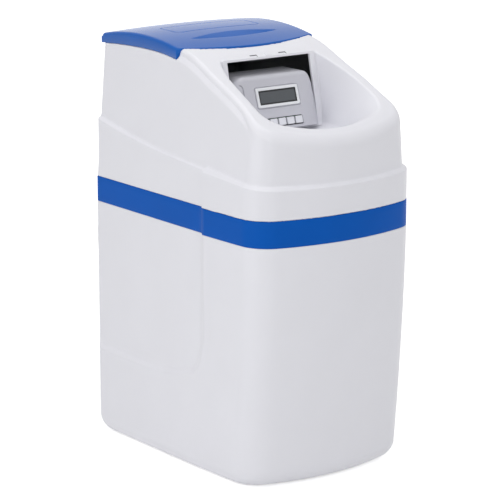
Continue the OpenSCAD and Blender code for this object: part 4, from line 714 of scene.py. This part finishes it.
# distance over which the front's bow fades out of the rows of points, and the points' step
BOW_FADE, LID_STEP, END_STEPS, CLEAR_STEPS = 40.0, 3.0, 5, 0.6
SCOOP_Y, SCOOP_HW, SCOOP_SPAN, SCOOP_DEPTH = 56.5, 84.0, 15.0, 4.4
SCOOP_SOFT, SCOOP_CRISP = 0.7, 1.3
LABEL_X, LABEL_Y0, LABEL_Y1, LABEL_R = 82.0, 98.5, 149.5, 7.0
GROOVE_DEPTH, GROOVE_HW = 0.7, 1.3
# places where the points stand closer, as reach and step
FINE_GROOVE, FINE_SCOOP = (2.0, 0.65), (17.0, 1.2)
KNUCKLE_IN, KNUCKLE_LOW, KNUCKLE_FOOT = 1.5, 1.0, 4.9


def lid_z(x, y):
    return LID_TOP_Z - (y - LID_TOP_Y) ** 2 / LID_CURVE + LID_CROWN * (1 - (x / LID_HW) ** 2)


def stations(lo, hi, fine, edge):
    """Positions from lo to hi: regular, crowded into both ends and round each fine (place, reach, step)."""
    ends = [edge * quarter(i, END_STEPS) for i in range(END_STEPS)]
    out = [lo + e for e in ends] + [hi - e for e in ends]
    spans = [(c - r, c + r, s) for c, r, s in fine]
    clear = CLEAR_STEPS * LID_STEP
    for v in np.arange(lo + edge, hi - edge + 1e-6, LID_STEP):
        if not any(a - clear < v < b + clear for a, b, _ in spans):
            out.append(v)
    for a, b, s in spans:
        out.extend(np.linspace(a, b, int(round((b - a) / s)) + 1))
    return np.array(sorted(out))


def scoop_drop(x, y):
    """Depth of the finger scoop: a lens in plan, soft at its front, crisp at its rear."""
    span = SCOOP_SPAN * np.maximum(1 - (x / SCOOP_HW) ** 2, 1e-6)
    q = (y - SCOOP_Y) / span
    front = eased((q + 1) / SCOOP_SOFT)
    rear = (1 - q) / SCOOP_CRISP
    depth = SCOOP_DEPTH * np.sqrt(np.maximum(1 - (x / SCOOP_HW) ** 2, 0))
    return np.where(np.abs(q) < 1, depth * np.minimum(front, np.clip(rear, 0, 1)), 0)


def label_groove(x, y):
    """Fine outline of the bare label place."""
    mid, half = (LABEL_Y0 + LABEL_Y1) / 2, (LABEL_Y1 - LABEL_Y0) / 2
    dx = np.maximum(np.abs(x) - LABEL_X + LABEL_R, 0)
    dy = np.maximum(np.abs(y - mid) - half + LABEL_R, 0)
    d = np.sqrt(dx * dx + dy * dy) - LABEL_R
    d = np.where((dx == 0) & (dy == 0), np.maximum(np.abs(x) - LABEL_X, np.abs(y - mid) - half), d)
    return GROOVE_DEPTH * np.clip(1 - np.abs(d) / GROOVE_HW, 0, 1)


def lid_sheet(off):
    """Top surface, or with off the under one: grid of points, with its border rounded."""
    r, rf = LID_R, LID_FRONT_R
    fine_x = [(-LABEL_X, *FINE_GROOVE), (LABEL_X, *FINE_GROOVE)]
    fine_y = [(LABEL_Y0, *FINE_GROOVE), (LABEL_Y1, *FINE_GROOVE), (SCOOP_Y, *FINE_SCOOP)]
    xs = stations(-LID_HW, LID_HW, fine_x, r) * (1 - off / LID_HW)
    ys = stations(LID_FRONT, LID_BACK, fine_y, r)
    ys = LID_FRONT + off + (ys - LID_FRONT) * (1 - 2 * off / (LID_BACK - LID_FRONT))
    X = np.repeat(xs[None, :], len(ys), 0)
    Y = ys[:, None] + LID_BOW * (X / LID_HW) ** 2 * np.clip(1 - (ys[:, None] - off) / BOW_FADE, 0, 1)
    Z = lid_z(X, Y) - off - scoop_drop(X, Y)
    if off == 0:
        Z = Z - label_groove(X, Y)
    ex = np.clip(r - np.minimum(X + LID_HW - off, LID_HW - off - X), 0, r)
    eb = np.clip(r - (LID_BACK - off - Y), 0, r)
    rr = np.minimum(np.sqrt(ex * ex + eb * eb), r)
    ef = np.clip(rf - (Y - lid_front(X) - off), 0, rf)
    drop = np.maximum(r - np.sqrt(r * r - rr * rr), rf - np.sqrt(rf ** 2 - ef * ef))
    points = np.c_[X.ravel(), Y.ravel(), (Z - drop).ravel()].tolist()
    return points, X.shape


def grid_faces(rows, cols, base, up):
    """Quads of a grid of points, facing up or down."""
    faces = []
    for j in range(rows - 1):
        for i in range(cols - 1):
            a = base + j * cols + i
            first, last = (1, cols) if up else (cols, 1)
            faces.append((a, a + first, a + cols + 1, a + last))
    return faces


def grid_border(rows, cols, base):
    """Indices round the border of a grid of points."""
    loop = [(0, i) for i in range(cols)] + [(j, cols - 1) for j in range(1, rows)]
    loop += [(rows - 1, i) for i in range(cols - 2, -1, -1)] + [(j, 0) for j in range(rows - 2, 0, -1)]
    return [base + j * cols + i for j, i in loop]


def build_lid():
    verts, shape = lid_sheet(0.0)
    faces = grid_faces(*shape, 0, True)
    ring = grid_border(*shape, 0)

    def down(lift, inset):
        """A copy of the border at a height above the seat, drawn in by inset towards the lid's middle."""
        first = len(verts)
        for k in ring:
            x, y = verts[k][:2]
            nx = min(max(x, -LID_HW + inset), LID_HW - inset)
            ny = min(max(y, lid_front(x) + inset), LID_BACK - inset)
            verts.append([nx, ny, float(edge_z(np.array(ny))) + LID_FOOT_GAP + lift])
        return list(range(first, len(verts)))

    def strip(a, b):
        n = len(a)
        for k in range(n):
            m = (k + 1) % n
            faces.append((a[m], a[k], b[k], b[m]))
    steps = [ring, down(LID_FOOT_R, 0.0), down(0.0, LID_FOOT_R), down(0.0, LID_WALL - LID_FOOT_IN)]
    for a, b in zip(steps, steps[1:]):
        strip(a, b)
    base = len(verts)
    under, shape = lid_sheet(LID_WALL)
    verts.extend(under)
    faces.extend(grid_faces(*shape, base, False))
    strip(steps[-1], grid_border(*shape, base))
    ob = mesh_object("lid_shell", verts, faces, LID)
    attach(ob, "lid")
    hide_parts("salt_lid")
    # knuckles at the rear
    low = HINGE_Z - KNUCKLE_LOW
    prof = [(LID_BACK - KNUCKLE_IN, low), (HINGE_Y - KNUCKLE_FOOT, low)] + pin_arc(*KNUCKLE_ARC)
    prof.append((LID_BACK - KNUCKLE_IN, HINGE_Z + HINGE_R))
    kv, kf = [], []
    for sx in (-1, 1):
        add_prism(kv, kf, prof, sx * HINGE_X - KNUCKLE_W / 2, sx * HINGE_X + KNUCKLE_W / 2)
    kn = mesh_object("lid_knuckles", kv, kf, LID, smooth=False)
    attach(kn, "lid")


# Valve head seen in the window: cover, window frame, keys and display

# plane of the face: y and z of the display's middle, and the tilt
FACE = -58.0, 587.65, math.radians(18.5)
HEAD_HW, HEAD_Z0, HEAD_Z1, HEAD_LOW_Z = 78.0, 485.0, 621.0, 538.0
HEAD_NOSE_Y, HEAD_BACK_Y, HEAD_TOP_BACK_Y, HEAD_STEP_Z = -47.0, -8.3, 6.7, 585.0
HEAD_WALL, HEAD_LO, HEAD_HI = 2.5, (-80.0, -78.0, 483.0), (80.0, 10.0, 624.0)
# radii of the head: its arch, and its face's edge at the top, growing towards the sides
ARCH_R, TOP_EDGE_R, SIDE_MORE_R, EDGE_R_RUN = 22.0, 6.0, 11.0, 30.0
KEY_V, KEY_PITCH, KEY_W, KEY_H = -40.1, 16.3, 13.9, 12.0
SHOW_W, SHOW_H, SHOW_BORDER = 81.4, 31.5, 4.5
# cuts in the head's face: under the display frame, round the keys, and half their depth
SHOW_LAP, KEY_CUT_U, KEY_CUT_V, KEY_CUT_R, CUT_HALF = 1.7, 1.3, 1.2, 2.0, 6.0
# fine channel round the display frame
CHANNEL_HALF, CHANNEL_R, CHANNEL_DEEP = 0.7, 2.5, 1.3
# seam of the side panel: its inner edge and middle, half sizes, corner, half width and depth
SEAM_U, SEAM_V, SEAM_HW, SEAM_HH, SEAM_R, SEAM_HALF, SEAM_DEEP = -63.0, -26.0, 40.0, 50.0, 6.0, 0.55, 2.2


def rect_sd(u, v, hw, hh, r=0.0):
    """Signed distance to a rectangle about the origin, with corners of radius r."""
    a, b = np.abs(u) - hw + r, np.abs(v) - hh + r
    return np.sqrt(np.maximum(a, 0) ** 2 + np.maximum(b, 0) ** 2) + np.minimum(np.maximum(a, b), 0) - r


def head_form(x, y, z, off):
    """Head cover drawn in by off; the inner form runs out through the open back."""
    u, _, w = to_plane(FACE, np.abs(x), y, z)
    side, top, face = u - HEAD_HW + off, z - HEAD_Z1 + off, w + off
    through = 1.0 if off > 0 else 0.0
    arch = round_max(side, top, ARCH_R - off)
    r = TOP_EDGE_R + SIDE_MORE_R * eased(0.5 + (side - top) / EDGE_R_RUN) - off
    upper = round_max(face, arch, r)
    upper = np.maximum(np.maximum(upper, HEAD_LOW_Z + off - z), y - HEAD_TOP_BACK_Y - through)
    upper = np.maximum(upper, np.minimum(y - HEAD_BACK_Y - through, HEAD_STEP_Z - through - z))
    lower = np.maximum(np.maximum(HEAD_NOSE_Y + off - y, y - HEAD_BACK_Y - through), side)
    lower = np.maximum(lower, np.maximum(HEAD_Z0 + off - z, z - HEAD_STEP_Z))
    return np.minimum(upper, lower)


def head_sd(x, y, z):
    d = np.maximum(head_form(x, y, z, 0.0), -head_form(x, y, z, HEAD_WALL))
    u, v, w = to_plane(FACE, x, y, z)
    hw, hh = SHOW_W / 2, SHOW_H / 2
    show = np.maximum(rect_sd(u, v, hw - SHOW_LAP, hh - SHOW_LAP), np.abs(w) - CUT_HALF)
    row = rect_sd(u, v - KEY_V, 2 * KEY_PITCH + KEY_W / 2 + KEY_CUT_U, KEY_H / 2 + KEY_CUT_V, KEY_CUT_R)
    d = np.maximum(np.maximum(d, -show), -np.maximum(row, np.abs(w) - CUT_HALF))
    line = np.abs(rect_sd(u, v, hw + CHANNEL_HALF, hh + CHANNEL_HALF, CHANNEL_R)) - CHANNEL_HALF
    d = np.maximum(d, -np.maximum(line, -CHANNEL_DEEP - w))
    line = np.abs(rect_sd(u - SEAM_U + SEAM_HW, v - SEAM_V, SEAM_HW, SEAM_HH, SEAM_R)) - SEAM_HALF
    return np.maximum(d, -np.maximum(line, -SEAM_DEEP - w))


def build_head():
    h = 1.1
    ob = net_piece("head_shell", head_sd, HEAD_LO, HEAD_HI, h, GREY)
    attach(ob, "cabinet")
    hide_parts("head_cover")


# window frame, in the window's plane. Of each part: half width u, place and half depth w, margins along v
FRAME_LO, FRAME_HI, FRAME_EDGE = (-91.0, -1.0, -8.0), (91.0, WIN_LEN + 7.0, 4.0), 0.5
FLANGE_U, FLANGE_W, FLANGE_HALF, FLANGE_TOP, FLANGE_LOW, FLANGE_R = WIN_HW - 0.8, 1.0, 0.9, 1.5, 0.5, 3.0
TONGUE_U, TONGUE_W, TONGUE_HALF, TONGUE_MID, TONGUE_LESS, TONGUE_R = 82.7, -0.7, 1.9, 0.1, 3.3, 4.0
VIEW_U, VIEW_TOP, VIEW_LOW, VIEW_R = 80.4, 1.2, 2.6, 3.5
# on the roof: lip, slots and tab, with their places and half heights over the roof
LIP_U, LIP_W, LIP_HALF, LIP_Q, LIP_T = 84.0, -2.3, 4.2, -0.3, 1.3
SLOT_U, SLOT_HW, SLOT_W, SLOT_HALF, SLOT_DEEP, SLOT_SHADE_REACH = (-25.0, 31.0), 6.5, -2.8, 1.8, 0.9, 0.3
TAB_U, TAB_W, TAB_HALF, TAB_Q, TAB_T, TAB_R = 3.0, -2.0, 3.0, 1.0, 1.4, 0.6


def roof_gap(v, w):
    """Height above the roof at the window's upper edge."""
    sl = float(top_slope(np.array(WIN_Y + WIN_REACH)))
    dv = math.sin(WIN_T) + sl * math.cos(WIN_T)
    dw = sl * math.sin(WIN_T) - math.cos(WIN_T)
    return ((v - WIN_LEN) * -dw + w * dv) / math.hypot(dv, dw)


def slot_sd(u, v, w):
    gap = np.minimum(np.abs(u - SLOT_U[0]), np.abs(u - SLOT_U[1])) - SLOT_HW
    return np.maximum(np.maximum(gap, np.abs(w - SLOT_W) - SLOT_HALF), -SLOT_DEEP - roof_gap(v, w))


def frame_sd(u, v, w):
    """Window frame: flange, tongue, and a lip over the roof with two slots and a tab."""
    mid = (WIN_LEN + FLANGE_TOP) / 2
    flange = rect_sd(u, v - mid, FLANGE_U, mid - FLANGE_LOW, FLANGE_R)
    flange = round_max(flange, np.abs(w - FLANGE_W) - FLANGE_HALF, FRAME_EDGE)
    tongue = rect_sd(u, v - (WIN_LEN - TONGUE_MID) / 2, TONGUE_U, (WIN_LEN - TONGUE_LESS) / 2, TONGUE_R)
    tongue = np.maximum(tongue, np.abs(w - TONGUE_W) - TONGUE_HALF)
    view_mid, view_h = (WIN_LEN - VIEW_TOP + VIEW_LOW) / 2, (WIN_LEN - VIEW_TOP - VIEW_LOW) / 2
    d = round_max(np.minimum(flange, tongue), -rect_sd(u, v - view_mid, VIEW_U, view_h, VIEW_R), FRAME_EDGE)
    q = roof_gap(v, w)
    lip = round_max(np.abs(q - LIP_Q) - LIP_T, np.abs(w - LIP_W) - LIP_HALF, FRAME_EDGE)
    lip = np.maximum(round_max(lip, np.abs(u) - LIP_U, FRAME_EDGE), -slot_sd(u, v, w))
    tab = round_max(np.abs(u - TAB_U) - SLOT_HW, np.abs(w - TAB_W) - TAB_HALF, TAB_R)
    tab = round_max(tab, np.abs(q - TAB_Q) - TAB_T, TAB_R)
    return np.minimum(np.minimum(d, lip), tab)


def build_frame():
    h = 0.75
    ob = net_piece("window_frame", frame_sd, FRAME_LO, FRAME_HI, h, TRIM, plane=WINDOW)
    # the slots' faces take the black plastic: painted shade inside the white frame's slots
    second_finish(ob, DARK, lambda x, y, z: slot_sd(*to_plane(WINDOW, x, y, z)) < SLOT_SHADE_REACH)
    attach(ob, "cabinet")
    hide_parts("window_bezel")


# keys: play in their cut, dish, corner, edge, top and rear; half sizes of the space that each is meshed in
KEY_PLAY_U, KEY_PLAY_V, KEY_DISH, KEY_R, KEY_EDGE, KEY_TOP, KEY_REAR = 0.25, 0.3, 0.3, 1.4, 0.6, 1.5, -3.0
KEY_SPACE_U, KEY_SPACE_V, KEY_SPACE_W = 9.0, 8.0, (-5.0, 4.0)


def build_keys():
    """Five key caps with rounded corners and a shallow dish."""
    h = 0.6
    hw, hh = KEY_W / 2 - KEY_PLAY_U, KEY_H / 2 - KEY_PLAY_V
    for k in range(KEY_COUNT):
        u0 = (k - 2) * KEY_PITCH

        def key_sd(u, v, w):
            dish = KEY_DISH * (1 - ((u - u0) / hw) ** 2) * (1 - ((v - KEY_V) / hh) ** 2)
            thick = np.maximum(w - KEY_TOP + dish, KEY_REAR - w)
            return round_max(rect_sd(u - u0, v - KEY_V, hw, hh, KEY_R), thick, KEY_EDGE)
        lo = (u0 - KEY_SPACE_U, KEY_V - KEY_SPACE_V, KEY_SPACE_W[0])
        hi = (u0 + KEY_SPACE_U, KEY_V + KEY_SPACE_V, KEY_SPACE_W[1])
        ob = net_piece("key_cap_%d" % (k + 1), key_sd, lo, hi, h, KEY, plane=FACE)
        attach(ob, "button_%d_body" % (k + 1))
        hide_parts("button_%d" % (k + 1))


# display frame: place and half depth, radii outside and inside
SHOW_LO, SHOW_HI = (-43.0, -18.0, -3.0), (43.0, 18.0, 4.0)
SHOW_MID, SHOW_HALF, SHOW_R, SHOW_EDGE, SHOW_IN_R, SHOW_IN_EDGE = 0.4, 1.2, 2.4, 0.7, 0.8, 0.5
# pane: its lap under the frame, and inset and height of its loops
PANE_LAP, PANE_LOOPS = 0.3, ((0.0, -0.6), (0.0, 0.35), (0.3, 0.6), (2.6, 0.6), (2.8, 0.5))


def build_display():
    """Display frame with rounded edges, and its pane with a black border painted as the shade at the frame's
    inner edge.
    """
    h = 0.6
    hw, hh = SHOW_W / 2, SHOW_H / 2

    def ring_sd(u, v, w):
        d = round_max(rect_sd(u, v, hw, hh, SHOW_R), np.abs(w - SHOW_MID) - SHOW_HALF, SHOW_EDGE)
        return round_max(d, -rect_sd(u, v, hw - SHOW_BORDER, hh - SHOW_BORDER, SHOW_IN_R), SHOW_IN_EDGE)
    ob = net_piece("display_ring", ring_sd, SHOW_LO, SHOW_HI, h, SHOW_WHITE, plane=FACE)
    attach(ob, "cabinet")
    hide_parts("display_bezel")
    # pane, from its rear over its border to the glass field, which is the last cap
    loops = []
    for inset, w in PANE_LOOPS:
        a, b = hw - SHOW_BORDER + PANE_LAP - inset, hh - SHOW_BORDER + PANE_LAP - inset
        loops.append(np.array([(-a, -b, w), (a, -b, w), (a, b, w), (-a, b, w)]))
    verts, faces = loft(loops)
    pane = mesh_object("display_pane", from_plane(FACE, verts), faces, GLASS, smooth=False)
    # the pane's border loops take the black rubber: painted shade along the frame's inner edge; only the
    # last cap is glass
    pane.data.materials.append(RUBBER)
    pane.data.polygons.foreach_set("material_index", [1] * (len(faces) - 1) + [0])
    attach(pane, "cabinet")
    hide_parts("display_lens")


build_tank()
build_band()
build_shroud()
build_lid()
build_head()
build_frame()
build_keys()
build_display()


# Camera at the photograph's angle. Lengths from here on are in metres

CAM_TARGET, CAM_DISTANCE = Vector((0, 0.018, 0.3162)), 4.061
CAM_AZ, CAM_EL = math.radians(-36.46), math.radians(13.57)
CAM_SENSOR, CAM_LENS, CAM_SHIFT, CAM_END = 36.0, 181.13, (0.0026, 0.0113), 50.0


def aim(ob, loc, target):
    ob.location = loc
    ob.rotation_euler = (Vector(target) - ob.location).to_track_quat("-Z", "Y").to_euler()
    bpy.context.scene.collection.objects.link(ob)


cam_data = bpy.data.cameras.new("camera")
cam = bpy.data.objects.new("camera", cam_data)
away = Vector((math.sin(CAM_AZ) * math.cos(CAM_EL), -math.cos(CAM_AZ) * math.cos(CAM_EL), math.sin(CAM_EL)))
aim(cam, CAM_TARGET + CAM_DISTANCE * away, CAM_TARGET)
cam_data.sensor_width = CAM_SENSOR
cam_data.lens = CAM_LENS
cam_data.shift_x, cam_data.shift_y = CAM_SHIFT
cam_data.clip_end = CAM_END
bpy.context.scene.camera = cam


# Floor, world and lamps

FLOOR_HALF, FLOOR_Z, FLOOR_ALBEDO = 14.0, -0.0004, 0.92
# the glow that keeps the ground white grows away from the object, so that the shadow at its foot stays
GLOW_FROM, GLOW_TO, GLOW_NEAR, GLOW_FAR = 0.5, 3.0, 0.60, 0.95
WORLD_SEEN, WORLD_LIT = 1.0, 0.27
PURE_WHITE = (1, 1, 1, 1)


def maths(nt, kind, operation):
    node = nt.nodes.new(kind)
    node.operation = operation
    return node


def seen_rays(nt):
    """1 for camera, glossy and transmission rays, 0 for the rays that only light the scene."""
    path = nt.nodes.new("ShaderNodeLightPath")
    either, any_of = maths(nt, "ShaderNodeMath", "MAXIMUM"), maths(nt, "ShaderNodeMath", "MAXIMUM")
    nt.links.new(path.outputs["Is Camera Ray"], either.inputs[0])
    nt.links.new(path.outputs["Is Glossy Ray"], either.inputs[1])
    nt.links.new(either.outputs[0], any_of.inputs[0])
    nt.links.new(path.outputs["Is Transmission Ray"], any_of.inputs[1])
    return any_of.outputs[0]


floor_me = bpy.data.meshes.new("floor")
around = ((-1, -1), (1, -1), (1, 1), (-1, 1))
floor_me.from_pydata([(x * FLOOR_HALF, y * FLOOR_HALF, FLOOR_Z) for x, y in around], [], [(0, 1, 2, 3)])
floor = bpy.data.objects.new("floor", floor_me)
bpy.context.scene.collection.objects.link(floor)
fm = bpy.data.materials.new("floor_pale")
fm.use_nodes = True
nt = fm.node_tree
nt.nodes.clear()
out = nt.nodes.new("ShaderNodeOutputMaterial")
dif = set_inputs(nt.nodes.new("ShaderNodeBsdfDiffuse"), Color=(FLOOR_ALBEDO,) * 3 + (1,))
emi = set_inputs(nt.nodes.new("ShaderNodeEmission"), Color=PURE_WHITE)
mul = maths(nt, "ShaderNodeMath", "MULTIPLY")
co = nt.nodes.new("ShaderNodeTexCoord")
far = maths(nt, "ShaderNodeVectorMath", "LENGTH")
glow = set_inputs(nt.nodes.new("ShaderNodeMapRange"), From_Min=GLOW_FROM, From_Max=GLOW_TO,
                  To_Min=GLOW_NEAR, To_Max=GLOW_FAR)
nt.links.new(co.outputs["Object"], far.inputs[0])
nt.links.new(far.outputs["Value"], glow.inputs["Value"])
nt.links.new(seen_rays(nt), mul.inputs[0])
nt.links.new(glow.outputs["Result"], mul.inputs[1])
nt.links.new(mul.outputs[0], emi.inputs["Strength"])
add = nt.nodes.new("ShaderNodeAddShader")
nt.links.new(dif.outputs[0], add.inputs[0])
nt.links.new(emi.outputs[0], add.inputs[1])
nt.links.new(add.outputs[0], out.inputs["Surface"])
floor_me.materials.append(fm)

world = bpy.data.worlds.new("studio")
bpy.context.scene.world = world
world.use_nodes = True
wn = world.node_tree
wn.nodes.clear()
world_out = wn.nodes.new("ShaderNodeOutputWorld")
seen = set_inputs(wn.nodes.new("ShaderNodeBackground"), Color=PURE_WHITE, Strength=WORLD_SEEN)
lit = set_inputs(wn.nodes.new("ShaderNodeBackground"), Color=PURE_WHITE, Strength=WORLD_LIT)
mix = wn.nodes.new("ShaderNodeMixShader")
wn.links.new(seen_rays(wn), mix.inputs["Fac"])
wn.links.new(lit.outputs[0], mix.inputs[1])
wn.links.new(seen.outputs[0], mix.inputs[2])
wn.links.new(mix.outputs[0], world_out.inputs["Surface"])


def area(name, loc, look_z, size, power, mirrored=True):
    """Square lamp of a given size, aimed at the object's axis at height look_z."""
    d = bpy.data.lights.new(name, "AREA")
    d.shape = "RECTANGLE"
    d.size = d.size_y = size
    d.energy = power
    ob = bpy.data.objects.new(name, d)
    aim(ob, loc, (0, 0, look_z))
    ob.visible_glossy = mirrored


area("soft_left", loc=(-2.6, -0.4, 1.3), look_z=0.35, size=2.2, power=21.5)
area("soft_top", loc=(-0.3, 0.0, 2.8), look_z=0.4, size=2.4, power=29)
area("soft_front", loc=(-1.5, -2.9, 1.9), look_z=0.45, size=1.4, power=19)
# the display and the lid would mirror these two
area("soft_right", loc=(2.2, -2.2, 2.2), look_z=0.4, size=1.6, power=21, mirrored=False)
area("soft_rear", loc=(1.2, 3.2, 1.6), look_z=0.35, size=2.2, power=12, mirrored=False)

bpy.context.scene.view_settings.view_transform = "Standard"
